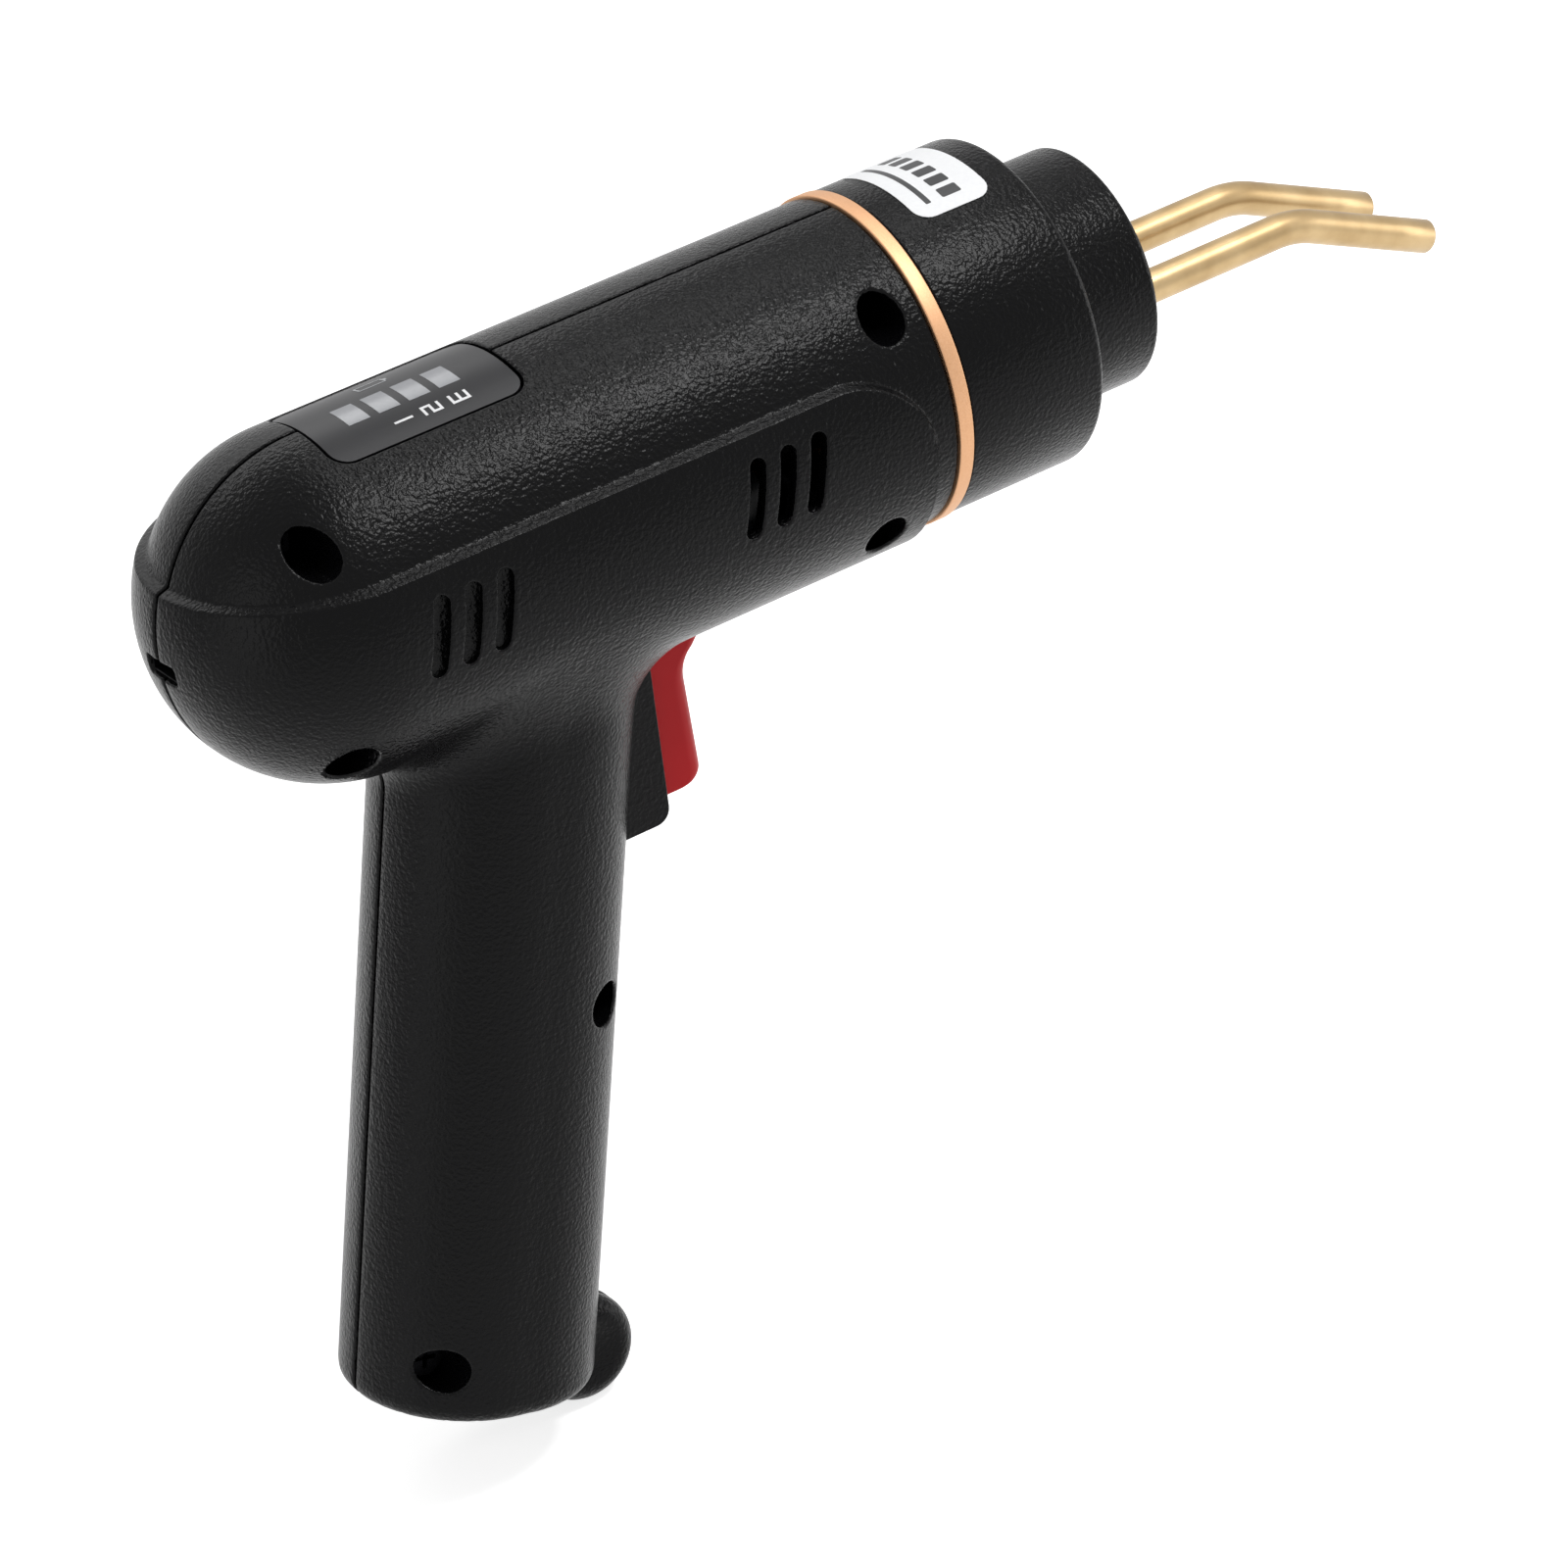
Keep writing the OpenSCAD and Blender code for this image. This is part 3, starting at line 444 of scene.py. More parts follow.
# Coated paper: white, smooth and slightly glossy, with the faintest fibre in its surface
coated_paper, place = new_finish("white coated paper")
fibre = add_node(coated_paper, "TexNoise", {"Vector": place, "Scale": 1 / 0.0006, "Detail": 3.0})
add_node(coated_paper, "OutputMaterial", {"Surface": add_node(coated_paper, "BsdfPrincipled", {
    "Base Color": add_node(coated_paper, "MixRGB", {0: fibre, 1: linear("#e9eaec"), 2: linear("#f4f5f6")}),
    "Roughness": 0.42,
    "Normal": add_node(coated_paper, "Bump", {"Height": fibre, "Strength": 0.06, "Distance": 0.00003})})})
sticker = bmesh.new()
wrapped_patch(sticker, panel(label_mid_x, 0, label_len, 2 * label_half_w, label_corner), label_r, label_t)
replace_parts(finished("label_sticker", sticker, coated_paper), "nose_label")

# Printer's ink: dark grey, a little uneven where the paper takes it
dark_ink, place = new_finish("dark printing ink")
inking = add_node(dark_ink, "TexNoise", {"Vector": place, "Scale": 1 / 0.0005, "Detail": 2.0})
add_node(dark_ink, "OutputMaterial", {"Surface": add_node(dark_ink, "BsdfPrincipled", {
    "Base Color": add_node(dark_ink, "MixRGB", {0: inking, 1: linear("#1b1c1e"), 2: linear("#2a2b2e")}),
    "Roughness": 0.4})})
print_bars = bmesh.new()
ink_r, ink_t, blocks, block_pitch = label_r + label_t, 0.015, 6, 3.0
for k in range(blocks):
    block_y = block_pitch * (k - (blocks - 1) / 2)
    wrapped_patch(print_bars, panel(label_mid_x + 0.8, block_y, 3.2, 2.0, 0.3), ink_r, ink_t)
wrapped_patch(print_bars, panel(label_mid_x - 3.2, 0, 0.9, 17.0, 0.2), ink_r, ink_t)
finished("label_print", print_bars, dark_ink)

# ---- trigger ----
# The trigger is a red moulded slide with a rounded front and a finger hollow under its beak. It runs back in
# the switch body, a black moulded channel that stands out of the grip under the barrel.
saddle_r = 26.0
trigger_half, trigger_front, trigger_back, trigger_bottom, finger_r = 6.0, 38.2, 54.9, 48.6, 6.0
hollow_z, hollow_foot, beak_x, beak_turn, slide_top = -33.0, -41.0, -33.7, math.radians(54), 25.6
toe_r, cheek_r, front_bow, front_depth = 1.9, 2.8, 0.5, 3.9


def side_block(work, outline, half, layers):
    """A block with that (x, z) outline, and its layers from one side face to the other."""
    sheets = [[work.verts.new((p.x, y, p.y)) for p in outline]
              for y in np.linspace(-half, half, layers + 1)]
    work.faces.new(sheets[0])
    work.faces.new(sheets[-1])
    skin_over(work, sheets)
    return sheets


def soften(piece, width, angle=40):
    """Rounds a piece's sharp edges, as a mould does."""
    edge = piece.modifiers.new("moulded edges", "BEVEL")
    edge.width, edge.segments = width / 1000, 4
    edge.limit_method, edge.angle_limit = "ANGLE", math.radians(angle)
    piece.modifiers.new("even shading", "WEIGHTED_NORMAL").keep_sharp = True


# Moulded ABS: pillar-box red, matte, with a grain so fine that only its softness shows
red_abs, place = new_finish("red moulded ABS")
red_grain = add_node(red_abs, "TexNoise", {"Vector": place, "Scale": 1 / 0.0003, "Detail": 2.0})
red_cloud = add_node(red_abs, "TexNoise", {"Vector": place, "Scale": 1 / 0.008, "Detail": 2.0})
add_node(red_abs, "OutputMaterial", {"Surface": add_node(red_abs, "BsdfPrincipled", {
    "Base Color": add_node(red_abs, "MixRGB", {0: red_cloud, 1: linear("#b80f16"), 2: linear("#c3151c")}),
    "Roughness": 0.45, "Specular IOR Level": 0.2,
    "Normal": add_node(red_abs, "Bump", {"Height": red_grain, "Strength": 0.25, "Distance": 0.00003})})})

slide = bmesh.new()
hollow = [Vector((-trigger_front + finger_r - math.cos(a) * finger_r, hollow_z + math.sin(a) * finger_r))
          for a in np.linspace(0, beak_turn, 9)]
toe = [Vector((-trigger_front - toe_r + math.sin(a) * toe_r, -trigger_bottom + toe_r - math.cos(a) * toe_r))
       for a in np.linspace(0, math.pi / 2, 8)]
profile = ([Vector((-trigger_back, -trigger_bottom))] + toe + [Vector((-trigger_front, hollow_foot))] + hollow
           + [Vector((beak_x, -slide_top)), Vector((-trigger_back, -slide_top))])
sheets = side_block(slide, profile, trigger_half, 36)
for sheet in sheets:
    for v in sheet:
        y = v.co.y
        turned = max(0, (abs(y) - trigger_half + cheek_r) / cheek_r)
        if v.co.x > -trigger_front - front_depth:
            v.co.x -= 0.9 * cheek_r * (1 - math.sqrt(1 - turned * turned))
            v.co.x -= front_bow * (y / trigger_half) ** 2
        if v.co.z > -slide_top - 1:
            v.co.z = -math.sqrt((saddle_r + 0.3) ** 2 - y * y)
red_trigger = finished("trigger_slide", slide, red_abs, body="trigger", sharp=50)
soften(red_trigger, 0.4)
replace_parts(red_trigger, "trigger")

# Switch body: the same black nylon as the nose, with a rounded foot, a front that leans a little, and the
# channel that the trigger slides in
switch_half, switch_front, switch_back, switch_bottom, cheek = 8.0, 45.6, 66.0, 51.5, 6.3
switch_top, foot_back, foot_r, channel_gap = 25.0, 0.9, 2.4, 0.3
channel_back, channel_out, channel_bottom = switch_back - 6, -switch_front + 2, trigger_bottom + channel_gap
frame_line = rounded([(-switch_back, -switch_bottom, 0), (-switch_front - foot_back, -switch_bottom, foot_r),
                      (-switch_front + 0.25, -switch_top, 0), (-switch_back, -switch_top, 0)])
channel_line = [Vector((-channel_back, -channel_bottom)), Vector((channel_out, -channel_bottom)),
                Vector((channel_out, -switch_top)), Vector((-channel_back, -switch_top))]
body = bmesh.new()
sheets = side_block(body, frame_line, switch_half, 16)
for sheet in sheets:
    for v in sheet:
        if v.co.z > -switch_top - 1:
            v.co.z = -math.sqrt((saddle_r + 0.1) ** 2 - v.co.y ** 2)
switch = finished("switch_moulding", body, black_nylon)
groove = bmesh.new()
side_block(groove, channel_line, cheek, 1)
cut_out(switch, finished("channel_tool", groove, black_nylon))
soften(switch, 0.5)
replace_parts(switch, "switch_body")

# ---- casing halves ----
# Two ABS shells moulded in spark-eroded tools, closed on each other along the middle by six screws from the
# right. A shallow saddle with a soft ledge wraps the barrel, flows into the grip and ends at the lanyard lug.
barrel_r, barrel_len, shell_wall = 24.6, 89.0, 2.0
ledge_z, ledge_front, ledge_corner_r = 10.2, 3.8, 14.0
grip_x, grip_lean, grip_len = 58.1, math.radians(14.7), 131.6
grip_half_l, grip_half_w, grip_edge, grip_join, lug_join = 18.7, 17.2, 2.5, 6.5, 0.9
lug_r, lug_half_w, lug_edge, lug_dish = 8.3, 4.5, 3.5, 1.0
lean_c, lean_s = math.cos(grip_lean), math.sin(grip_lean)


def round_join(a, b, radius):
    """Joins two solids, given by their distances, with a round fillet of that radius."""
    inside = np.hypot(np.maximum(radius - a, 0), np.maximum(radius - b, 0))
    return np.maximum(radius, np.minimum(a, b)) - inside


def round_box(a, b, edge):
    """Where two faces, given by their distances, meet in a rounded edge."""
    a, b = a + edge, b + edge
    return np.minimum(np.maximum(a, b), 0) + np.hypot(np.maximum(a, 0), np.maximum(b, 0)) - edge


def along_grip(p):
    """How far points lie in front of the grip's axis, and how far down it."""
    x = p[..., 0] + grip_x
    return x * lean_c - p[..., 2] * lean_s, -x * lean_s - p[..., 2] * lean_c


def from_lug(p):
    """How far points lie from the lanyard lug's middle, in side view."""
    ahead, down = along_grip(p)
    return np.hypot(ahead - grip_half_l, down - grip_len + 1)


def casing_shape(p):
    """The distance of points from the casing's skin before the ledge is set in, negative inside."""
    y = p[..., 1]
    barrel = np.sqrt(np.minimum(p[..., 0] + barrel_len, 0) ** 2 + y ** 2 + p[..., 2] ** 2) - saddle_r
    ahead, down = along_grip(p)
    oval = np.hypot(np.maximum(np.abs(ahead) - (grip_half_l - grip_half_w), 0), y) - grip_half_w
    post = round_box(oval, np.maximum(down - grip_len, 9 - down), grip_edge)
    dish = lug_dish * np.clip(1 - (from_lug(p) / (lug_r - 2)) ** 2, 0, 1) ** 2
    lug = round_box(from_lug(p) - lug_r, np.abs(y) - lug_half_w + dish, lug_edge)
    return round_join(barrel, round_join(post, lug, lug_join), grip_join)


def slope(measure, p):
    """How a measure changes along x, y and z at each point."""
    return np.stack([(measure(p + d) - measure(p - d)) / 0.02 for d in 0.01 * np.eye(3)], -1)


def settle(p):
    """Moves points straight onto the casing's skin."""
    for _ in range(6):
        g = slope(casing_shape, p)
        p = p - (casing_shape(p) / (g * g).sum(-1))[..., None] * g
    return p


def grown_skin(shape, low, high, step):
    """Meshes the skin where a shape is zero, with one vertex in each cell of a grid that it crosses."""
    axes = [np.arange(low[i], high[i] + step, step) for i in range(3)]
    field = shape(np.stack(np.meshgrid(*axes, indexing="ij"), -1))
    size = np.array(field.shape)
    total, hits, quads = np.zeros((size.prod(), 3)), np.zeros(size.prod()), []
    for axis in range(3):
        u, v = np.eye(3, dtype=int)[[(axis + 1) % 3, (axis + 2) % 3]]
        near, far = [slice(None)] * 3, [slice(None)] * 3
        near[axis], far[axis] = slice(None, -1), slice(1, None)
        a, b = field[tuple(near)], field[tuple(far)]
        at = np.argwhere((a < 0) != (b < 0))
        at = at[(at @ u > 0) & (at @ v > 0) & (at @ u < size @ u - 1) & (at @ v < size @ v - 1)]
        a, b = a[tuple(at.T)], b[tuple(at.T)]
        t = a / (a - b)
        point = low + step * (at + t[:, None] * np.eye(3)[axis])
        cells = [np.ravel_multi_index((at + d).T, size) for d in (0 * u, -u, -u - v, -v)]
        for cell in cells:
            np.add.at(total, cell, point)
            np.add.at(hits, cell, 1)
        quad = np.stack(cells, -1)
        rising = a < 0
        quads += [quad[rising], quad[~rising][:, ::-1]]
    quads = np.concatenate(quads)
    used, quads = np.unique(quads, return_inverse=True)
    skin = bmesh.new()
    verts = [skin.verts.new(p) for p in settle(total[used] / hits[used][:, None])]
    for quad in quads.reshape(-1, 4):
        skin.faces.new([verts[i] for i in quad])
    return skin


def places(things):
    """The places of vertices as an array."""
    return np.array([v.co for v in things], float).reshape(-1, 3)


def ledge_side(p):
    """How far points lie inside the ledge's outline in side view: level top, round corner, upright front."""
    return -round_box(p[..., 0] + ledge_front, p[..., 2] - ledge_z, ledge_corner_r)


# The riser is 0.75 mm wide, with 0.15 mm of it outside the outline
riser_w, riser_out = 0.75, 0.15


def set_ledge(p):
    """Sets points above the ledge down to the upper barrel, through the ledge's soft riser."""
    middle = np.stack((np.maximum(p[..., 0], -barrel_len), 0 * p[..., 0], 0 * p[..., 0]), -1)
    low, high = np.zeros(p.shape[:-1]), np.full(p.shape[:-1], saddle_r - barrel_r)
    for _ in range(18):
        rise = (low + high) / 2
        raised = middle + (p - middle) * ((barrel_r + rise) / saddle_r)[..., None]
        t = np.clip((ledge_side(raised) + riser_out) / riser_w, 0, 1)
        under = (saddle_r - barrel_r) * t * t * (3 - 2 * t) > rise
        low, high = np.where(under, rise, low), np.where(under, high, rise)
    return middle + (p - middle) * ((barrel_r + (low + high) / 2) / saddle_r)[..., None]


def onto_line(p, measure, level):
    """Moves points along the skin until a measure of the finished casing has that level."""
    def off(q):
        return measure(set_ledge(q)) - level
    for _ in range(5):
        f, g = casing_shape(p), off(p)
        a, b = slope(casing_shape, p), slope(off, p)
        aa, ab, bb = (a * a).sum(-1), (a * b).sum(-1), (b * b).sum(-1)
        det = np.maximum(aa * bb - ab * ab, 1e-6)
        move = ((f * bb - g * ab) / det)[:, None] * a + ((g * aa - f * ab) / det)[:, None] * b
        size = np.linalg.norm(move, axis=-1, keepdims=True)
        p = p - move * np.minimum(1, 0.6 / np.maximum(size, 1e-9))
    return p


def draw_line(skin, measure, level, reach):
    """Draws a line of vertices on the skin where a measure has that level, with those already within reach."""
    skin.verts.index_update()
    verts, edges = list(skin.verts), list(skin.edges)
    off = measure(set_ledge(places(verts))) - level
    near = np.flatnonzero(np.abs(off) < reach)
    if len(near):
        for i, q in zip(near, onto_line(places([verts[i] for i in near]), measure, level)):
            verts[i].co = q
    ends = np.array([[v.index for v in e.verts] for e in edges])
    side = np.where(np.abs(off) < reach, 0, np.sign(off))[ends]
    crossed = [(edges[i], off[ends[i, 0]] / (off[ends[i, 0]] - off[ends[i, 1]]))
               for i in np.flatnonzero(side[:, 0] * side[:, 1] < 0)]
    new = [bmesh.utils.edge_split(e, e.verts[0], t)[1] for e, t in crossed]
    if new:
        for v, q in zip(new, onto_line(places(new), measure, level)):
            v.co = q
    bmesh.ops.connect_verts(skin, verts=new + [verts[i] for i in near])


def refine(skin, measure, within):
    """Splits the skin's faces where a measure is small, so that fine lines can follow it."""
    middles = set_ledge(np.array([f.calc_center_median() for f in skin.faces]))
    picked = [f for f, d in zip(list(skin.faces), measure(middles)) if d < within]
    edges = list({e for f in picked for e in f.edges})
    bmesh.ops.subdivide_edges(skin, edges=edges, cuts=1, use_grid_fill=True)
    verts = list(skin.verts)
    for v, q in zip(verts, settle(places(verts))):
        v.co = q


def drop_faces(skin, measure, level):
    """Takes out the faces whose middle has a measure under that level."""
    faces = list(skin.faces)
    middles = set_ledge(np.array([f.calc_center_median() for f in faces]))
    bmesh.ops.delete(skin, geom=[f for f, d in zip(faces, measure(middles)) if d < level], context="FACES")


# Screw recesses, in side view: the two front bosses, two at the barrel's rear and two down the grip
recess_r, post_r, seat_y = 3.25, 4.4, 6.0
recesses = front_bosses + [(-barrel_len - 8.3, 15.4), (-barrel_len - 9, -16.3)]
recesses += [(-grip_x + ahead * lean_c - down * lean_s, -ahead * lean_s - down * lean_c)
             for ahead, down in ((11.2, 70.4), (-12.1, 123.1))]


def recess_edge(p):
    """How far points lie outside the nearest screw recess."""
    return np.min([np.hypot(p[..., 0] - x, p[..., 2] - z) for x, z in recesses], 0) - recess_r


# Vent slots, leaning with the grip: three open ones at the front and three blind ones at the rear
vent_w, vent_len, vent_pitch, vent_z, vent_depth = 2.5, 11.7, 5.05, 0.7, 0.7
front_vents, rear_vents = -28.9, -barrel_len + 9


def vent_edge(p, middle):
    """How far points lie outside the nearest slot of a group of three vents."""
    down, over = p[..., 2] - vent_z, [p[..., 0] - middle - k * vent_pitch for k in (-1, 0, 1)]
    return np.min([np.hypot(x * lean_c - down * lean_s,
                            np.maximum(np.abs(x * lean_s + down * lean_c) - (vent_len - vent_w) / 2, 0))
                   for x in over], 0) - vent_w / 2


# The gauge window's seat, the charging slot at the rear, and the way out for the switch and trigger
window_x, window_len, window_half_w, window_gap, slot_z = 57.0, 30.8, 10.4, 0.12, -1.1


def window_edge(p):
    """How far points lie outside the window's seat, in plan."""
    plan = round_box(np.abs(p[..., 0] + window_x + window_len / 2) - window_len / 2 - window_gap,
                     np.abs(p[..., 1]) - window_half_w - window_gap, 3.1)
    return np.where(p[..., 2] > 0, plan, 9)


def slot_edge(p):
    """How far points lie outside the charging slot, from behind."""
    behind = round_box(np.abs(p[..., 1]) - 3.8, np.abs(p[..., 2] - slot_z) - 1.5, 0.6)
    return np.where(p[..., 0] < -barrel_len, behind, 9)


def switch_edge(p):
    """How far points lie outside the opening for the switch body and the trigger in front of it."""
    x, y, z = p[..., 0], np.abs(p[..., 1]), p[..., 2]
    body = np.maximum(y - switch_half - 0.12, x + switch_front - 0.1)
    slide = np.maximum(y - trigger_half - 0.4, x + 30)
    proud = saddle_r + 0.15 - np.hypot(y, z)
    return np.maximum.reduce([np.minimum(body, slide), -switch_bottom - 0.15 - z, proud, -switch_back - x])


def every_edge(p):
    """How far points lie outside the nearest opening of both halves."""
    return np.minimum.reduce([vent_edge(p, front_vents), vent_edge(p, rear_vents), window_edge(p),
                              slot_edge(p), switch_edge(p)])


def seam(p):
    """How far points lie from the middle, where the halves meet."""
    return -p[..., 1]


def mouth(p):
    """How far points lie behind the casing's front end."""
    return -p[..., 0]


def rolled(distance, radius):
    """How deep a rounded lip of that radius lies at a distance from its edge."""
    t = np.clip(1 - distance / radius, 0, 1)
    return radius * (1 - np.sqrt(1 - t * t))


# Widths: half of the parting line and the rolled edges, and how far the skin lies inside the CAD's facets
seam_gap, seam_roll, lip_roll, recess_roll, mouth_roll, skin_inset = 0.3, 0.3, 0.28, 0.4, 0.35, 0.01
both = grown_skin(casing_shape, np.array([-118.3, -29.9, -143.8]), np.array([1.7, 1.3, 30.0]), 1.15)
for plane, normal in (((0, -seam_gap, 0), (0, 1, 0)), ((0, 0, 0), (1, 0, 0))):
    bmesh.ops.bisect_plane(both, geom=both.verts[:] + both.edges[:] + both.faces[:], dist=1e-4,
                           plane_co=plane, plane_no=normal, clear_outer=True)
refine(both, lambda p: np.abs(ledge_side(p) - 0.2), 1.3)
refine(both, lambda p: np.minimum(np.abs(every_edge(p)), from_lug(p) - lug_r - 1), 0.9)
for level in (seam_gap + 0.35 * seam_roll, seam_gap + seam_roll):
    draw_line(both, seam, level, 0.04)
draw_line(both, mouth, mouth_roll, 0.06)
draw_line(both, mouth, 0.1, 0.04)
for level, reach in ((-0.7, 0.15), (1.2, 0.15), (-riser_out, 0.06), (riser_w - riser_out, 0.06),
                     (0.05, 0.05), (0.4, 0.05), (0.22, 0.05)):
    draw_line(both, ledge_side, level, reach)
for level in (0.0, lip_roll, 0.4 * lip_roll, 0.1 * lip_roll):
    draw_line(both, every_edge, level, 0.02 if level else 0.08)


def open_edge(p):
    """How far points lie outside the nearest opening that goes right through the wall."""
    return np.minimum.reduce([vent_edge(p, front_vents), window_edge(p), slot_edge(p), switch_edge(p)])


def spot(v):
    """A vertex's place, rounded so that its copies compare equal."""
    return tuple(round(c, 4) for c in v.co)


def make_shell(name, side):
    """Makes one half from the shared skin: its openings, rolled lips, screw recesses and wall."""
    skin = both.copy()
    right = side < 0
    if right:
        refine(skin, lambda p: np.abs(recess_edge(p)), 1.3)
        for level in (0.0, recess_roll, 0.4 * recess_roll, 0.1 * recess_roll, post_r - recess_r):
            draw_line(skin, recess_edge, level, 0.03 if level else 0.08)
    lining = skin.copy()
    drop_faces(skin, lambda p: np.minimum(every_edge(p), recess_edge(p) if right else 9), 0)
    drop_faces(lining, lambda p: np.minimum(
        open_edge(p), recess_edge(p) + recess_r - post_r if right else 9), 0)
    shell, twins = bmesh.new(), []
    for source, inner in ((skin, False), (lining, True)):
        loose = [v for v in source.verts if not v.link_faces]
        bmesh.ops.delete(source, geom=loose, context="VERTS")
        base = settle(places(source.verts))
        for i, v in enumerate(source.verts):
            if v.co.y > -seam_gap - 1e-3:
                base[i, 1] = -seam_gap
        way = slope(casing_shape, base)
        way /= np.linalg.norm(way, axis=-1, keepdims=True)
        p = set_ledge(base)
        depth = rolled(seam(p) - seam_gap, seam_roll) + rolled(mouth(p), mouth_roll)
        depth += rolled(every_edge(p), lip_roll)
        if right:
            depth += rolled(recess_edge(p), recess_roll)
        p = p - way * (shell_wall if inner else depth[:, None] + skin_inset)
        p[base[:, 1] > -seam_gap - 1e-3, 1] = -seam_gap
        made = [shell.verts.new(q) for q in p]
        source.verts.index_update()
        for f in source.faces:
            corners = [made[v.index] for v in f.verts]
            shell.faces.new(corners[::-1] if inner else corners)
        rims = [e for e in source.edges if e.is_boundary]
        twins.append({tuple(sorted(spot(v) for v in e.verts)):
                      [made[v.index] for v in sorted(e.verts, key=spot)] for e in rims})
    for key, (a, b) in twins[0].items():
        if key in twins[1]:
            c, d = twins[1].pop(key)
            shell.faces.new((a, b, d, c))
    shell.edges.ensure_lookup_table()
    rims = [e for e in shell.edges if e.is_boundary]
    inner_rims = {frozenset(pair) for pair in twins[1].values()}
    for lining_side in (False, True):
        edges = [e for e in rims if (frozenset(e.verts) in inner_rims) == lining_side]
        if not edges:
            continue
        moved = bmesh.ops.extrude_edge_only(shell, edges=edges)["geom"]
        floor = [v for v in moved if isinstance(v, bmesh.types.BMVert)]
        for v, is_recess in zip(floor, recess_edge(places(floor)) < 1.5):
            v.co.y = (-seam_gap - 0.02 if lining_side else -seat_y) if is_recess else v.co.y + vent_depth
        bmesh.ops.holes_fill(shell, edges=[e for e in moved if isinstance(e, bmesh.types.BMEdge)])
    if side > 0:
        for v in shell.verts:
            v.co.y = -v.co.y
    return finished(name, shell, black_abs, sharp=48)


# Moulded ABS: black, matte with fine glints from the spark-eroded grain, which is drawn coarse at 0.6 mm
black_abs, place = new_finish("black moulded ABS, spark-eroded grain")
abs_grain = add_node(black_abs, "TexNoise", {"Vector": place, "Scale": 1 / 0.0006, "Detail": 1.0})
abs_cloud = add_node(black_abs, "TexNoise", {"Vector": place, "Scale": 1 / 0.015, "Detail": 2.0})
add_node(black_abs, "OutputMaterial", {"Surface": add_node(black_abs, "BsdfPrincipled", {
    "Base Color": linear("#050506"), "Specular IOR Level": 0.11,
    "Roughness": add_node(black_abs, "MapRange", {"Value": abs_cloud, "To Min": 0.22, "To Max": 0.3}),
    "Normal": add_node(black_abs, "Bump", {"Height": abs_grain, "Strength": 1.0, "Distance": 0.00017})})})

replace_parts(make_shell("casing_shell_right", -1), "casing_right")
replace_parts(make_shell("casing_shell_left", 1), "casing_left")
both.free()

# ---- trim ring ----
# A turned aluminium ring, anodised copper, is pressed between the casing and the nose, and stands a little
# proud of both. Its two edges are broken. The turning leaves about 9 lines to the millimetre round it.
ring_proud, ring_seat, ring_gap, ring_edge = 0.4, 22.45, 0.12, 0.24
ring_out = barrel_r + ring_proud - skin_inset
anodised, place = new_finish("copper anodised aluminium, fine turned")
turning = add_node(anodised, "TexNoise", {
    "Vector": add_node(anodised, "VectorMath", {0: place, 1: (9 / 0.001, 0.3 / 0.001, 0.3 / 0.001)},
                       operation="MULTIPLY"),
    "Scale": 1.0, "Detail": 2.0})
sparkle = add_node(anodised, "TexNoise", {"Vector": place, "Scale": 1 / 0.00025, "Detail": 1.0})
add_node(anodised, "OutputMaterial", {"Surface": add_node(anodised, "BsdfPrincipled", {
    "Base Color": add_node(anodised, "MixRGB", {0: sparkle, 1: linear("#c4966f"), 2: linear("#cfa582")}),
    "Metallic": 1.0,
    "Roughness": add_node(anodised, "MapRange", {"Value": turning, "To Min": 0.44, "To Max": 0.6}),
    "Normal": add_node(anodised, "Bump", {"Height": sparkle, "Strength": 0.2, "Distance": 0.00003})})})
band = bmesh.new()
rings = turn_rings(band, rounded([(ring_gap, ring_seat, 0), (ring_gap, ring_out, ring_edge),
                                  (ring_w - ring_gap, ring_out, ring_edge),
                                  (ring_w - ring_gap, ring_seat, 0)]), 160)
skin_over(band, rings + rings[:1])
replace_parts(finished("trim_band", band, anodised), "trim_ring")

# ---- gauge window ----
# A moulded pane of smoked acrylic is glued in its seat, a little sunk in the barrel's top. Four bars, the
# figures 1 to 3 and the outline of a small cell are screen-printed on its face.
window_mid, window_t, window_sunk, pane_corner = -window_x - window_len / 2, 1.5, 0.25, 2.7
pane_len, pane_w = window_len - 0.7, 2 * (window_half_w - 0.58)
print_r, print_t = barrel_r - window_sunk + 0.01, 0.02

# Smoked acrylic: near black and evenly satin, with a slow wave from the mould
smoked_acrylic, place = new_finish("satin smoked acrylic")
cast_wave = add_node(smoked_acrylic, "TexNoise", {"Vector": place, "Scale": 1 / 0.009, "Detail": 1.0})
add_node(smoked_acrylic, "OutputMaterial", {"Surface": add_node(smoked_acrylic, "BsdfPrincipled", {
    "Base Color": linear("#1c1c1f"), "Roughness": 0.36, "Specular IOR Level": 0.25,
    "Normal": add_node(smoked_acrylic, "Bump", {"Height": cast_wave, "Strength": 0.05, "Distance": 0.0002})})})
pane = bmesh.new()
wrapped_patch(pane, panel(window_mid, 0, pane_len, pane_w, pane_corner), barrel_r - window_t,
              window_t - window_sunk)
window = finished("window_pane", pane, smoked_acrylic)
soften(window, 0.12)
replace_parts(window, "gauge_window")

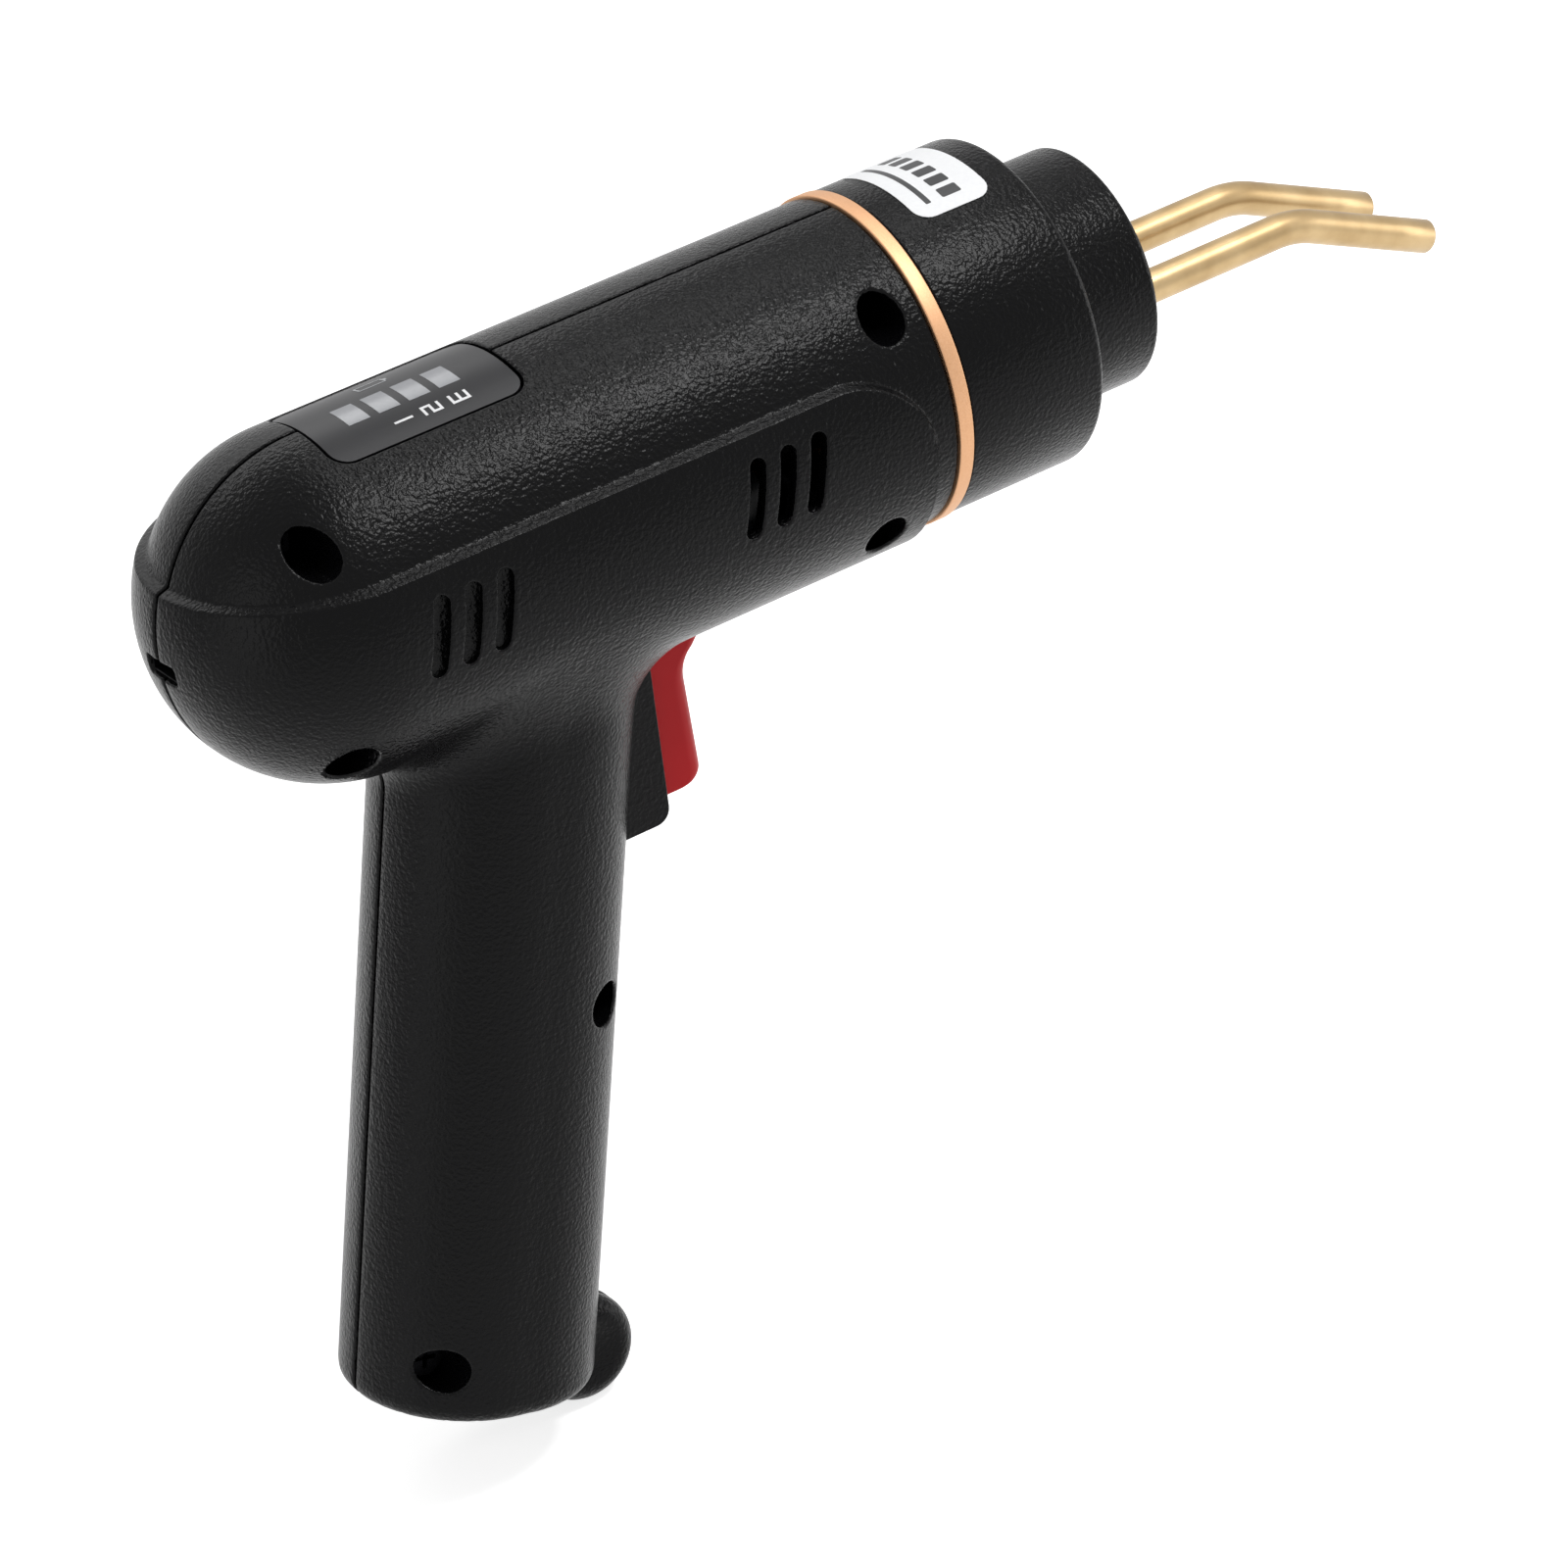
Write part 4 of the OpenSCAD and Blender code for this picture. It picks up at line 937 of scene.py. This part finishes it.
# Screen-printed grey: pale, half dull, with the faint cloud of a thin ink on smoked acrylic
printed_grey, place = new_finish("grey screen print on acrylic")
thin_ink = add_node(printed_grey, "TexNoise", {"Vector": place, "Scale": 1 / 0.0008, "Detail": 2.0})
add_node(printed_grey, "OutputMaterial", {"Surface": add_node(printed_grey, "BsdfPrincipled", {
    "Base Color": add_node(printed_grey, "MixRGB", {0: thin_ink, 1: linear("#85878b"), 2: linear("#909296")}),
    "Roughness": 0.2})})
gauge_print = bmesh.new()
bar_first, bar_pitch, bar_len, bar_w, bar_y = -window_x - 8.75, 4.8, 3.4, 5.4, -1.1
for k in range(4):
    wrapped_patch(gauge_print, panel(bar_first - k * bar_pitch, bar_y, bar_len, bar_w, 0), print_r, print_t)
cell_x, cell_y, cell_len, cell_w, line_w = -73.2, 5.6, 4.2, 2.0, 0.3
for x, y, length, width in ((0, -cell_w / 2, cell_len, line_w), (0, cell_w / 2, cell_len, line_w),
                            (cell_len / 2, 0, line_w, cell_w), (-cell_len / 2, 0, line_w, cell_w),
                            (cell_len / 2 + line_w, 0, 0.5, 0.9)):
    wrapped_patch(gauge_print, panel(cell_x + x, cell_y + y, length, width, 0), print_r, print_t)
finished("window_print", gauge_print, printed_grey)

# Screen-printed white: the figures, in a denser ink than the bars
printed_white, place = new_finish("white screen print on acrylic")
dense_ink = add_node(printed_white, "TexNoise", {"Vector": place, "Scale": 1 / 0.0008, "Detail": 2.0})
add_node(printed_white, "OutputMaterial", {"Surface": add_node(printed_white, "BsdfPrincipled", {
    "Base Color": add_node(printed_white, "MixRGB", {0: dense_ink, 1: linear("#e6e6e8"), 2: linear("#f0f0f1")}),
    "Roughness": 0.3})})
figures = bmesh.new()
figure_half, figure_w, stroke, figure_y, post_x, post_len = 1.45, 0.95, 0.42, -7.0, 0.62, 0.82
beam_x, post_y = figure_half - stroke / 2, figure_w - stroke / 2
beams = [(x, 0, stroke, 2 * figure_w) for x in (beam_x, 0, -beam_x)]
upper_right, lower_right, lower_left = [(x, y, post_len, stroke) for x, y in (
    (post_x, -post_y), (-post_x, -post_y), (-post_x, post_y))]
one = [(0, 0, 2 * figure_half, stroke)]
two, three = beams + [upper_right, lower_left], beams + [upper_right, lower_right]
for middle_x, figure in ((-75.2, one), (-70.75, two), (-66.35, three)):
    for x, y, length, width in figure:
        wrapped_patch(figures, panel(middle_x + x, figure_y + y, length, width, 0), print_r, print_t)
finished("window_figures", figures, printed_white)

# ---- studio ----
# The tool stands on pale paper in a white surround. A key softbox and an overhead one light it from above, a
# strip light from behind, and two weaker softboxes fill its side and its front.
bpy.context.scene.view_settings.view_transform = "Standard"


def where_seen(finish):
    """1 where a surface is seen, by the camera or in a shiny or clear piece, and 0 where it only lights."""
    rays = add_node(finish, "LightPath")
    seen = rays.outputs["Is Camera Ray"]
    for kind in ("Is Glossy Ray", "Is Transmission Ray"):
        seen = add_node(finish, "Math", {0: seen, 1: rays.outputs[kind]}, use_clamp=True).outputs[0]
    return seen


surround = bpy.data.worlds.new("white surround")
bpy.context.scene.world = surround
surround.use_nodes = True
surround.node_tree.nodes.clear()
add_node(surround, "OutputWorld", {"Surface": add_node(surround, "MixShader", {
    0: where_seen(surround),
    1: add_node(surround, "Background", {"Color": linear("#ffffff"), "Strength": 0.25}),
    2: add_node(surround, "Background", {"Color": linear("#ffffff"), "Strength": 1.0})})})

floor_drop = 0.0005
paper = bmesh.new()
bmesh.ops.create_grid(paper, x_segments=24, y_segments=24, size=3.0)
paper.transform(Matrix.Translation((0, 0, cad_box[0].z - floor_drop)))
floor_mesh = bpy.data.meshes.new("studio_floor")
paper.to_mesh(floor_mesh)
paper.free()
floor = bpy.data.objects.new("studio_floor", floor_mesh)
bpy.context.scene.collection.objects.link(floor)
pale_paper, place = new_finish("pale studio paper")
add_node(pale_paper, "OutputMaterial", {"Surface": add_node(pale_paper, "AddShader", {
    0: add_node(pale_paper, "BsdfDiffuse", {"Color": linear("#f2f2f2")}),
    1: add_node(pale_paper, "Emission", {"Color": linear("#ffffff"), "Strength": add_node(
        pale_paper, "Math", {0: where_seen(pale_paper), 1: 0.75}, operation="MULTIPLY")})})})
floor_mesh.materials.append(pale_paper)


def softbox(name, place, aim, size, watts):
    """A soft light with a face of that size in metres, aimed at a point."""
    lamp = bpy.data.lights.new(name, "AREA")
    lamp.shape, lamp.size, lamp.size_y, lamp.energy = "RECTANGLE", size[0], size[1], watts
    stand = bpy.data.objects.new(name, lamp)
    turn = (Vector(place) - Vector(aim)).to_track_quat("Z", "Y")
    stand.matrix_world = Matrix.Translation(place) @ turn.to_matrix().to_4x4()
    bpy.context.scene.collection.objects.link(stand)


softbox("key softbox", (0.21, -0.26, 0.58), (-0.04, 0, 0), (0.24, 0.2), 2.7)
softbox("overhead softbox", (0.2, 0.12, 0.63), (-0.04, 0, 0), (0.25, 0.2), 0.75)
softbox("rear strip light", (-0.08, 0.55, 0.45), (-0.08, 0, 0), (0.6, 0.16), 0.9)
softbox("side softbox", (-0.75, -0.15, 0.15), (-0.08, 0, -0.05), (0.35, 0.6), 0.7)
softbox("front softbox", (0.6, -0.25, -0.02), (-0.05, 0, -0.05), (0.3, 0.5), 1.3)

# The camera looks down at the right side from behind, through a long lens
azimuth, elevation, roll = math.radians(-28.81), math.radians(28.68), math.radians(-9.81)
lens_place = Vector((-0.52, -0.8306, 0.4598))
right = Vector((math.cos(azimuth), math.sin(azimuth), 0))
back = Vector((right.y, -right.x, 0)) * math.cos(elevation) + Vector((0, 0, math.sin(elevation)))
up = back.cross(right)
across, upward = right * math.cos(roll) + up * math.sin(roll), up * math.cos(roll) - right * math.sin(roll)
lens = bpy.data.cameras.new("long lens")
lens.lens, lens.sensor_width, lens.clip_start, lens.clip_end = 172.6, 36.0, 0.01, 20.0
camera = bpy.data.objects.new("long lens", lens)
camera.matrix_world = Matrix.Translation(lens_place) @ Matrix((across, upward, back)).transposed().to_4x4()
bpy.context.scene.collection.objects.link(camera)
bpy.context.scene.camera = camera
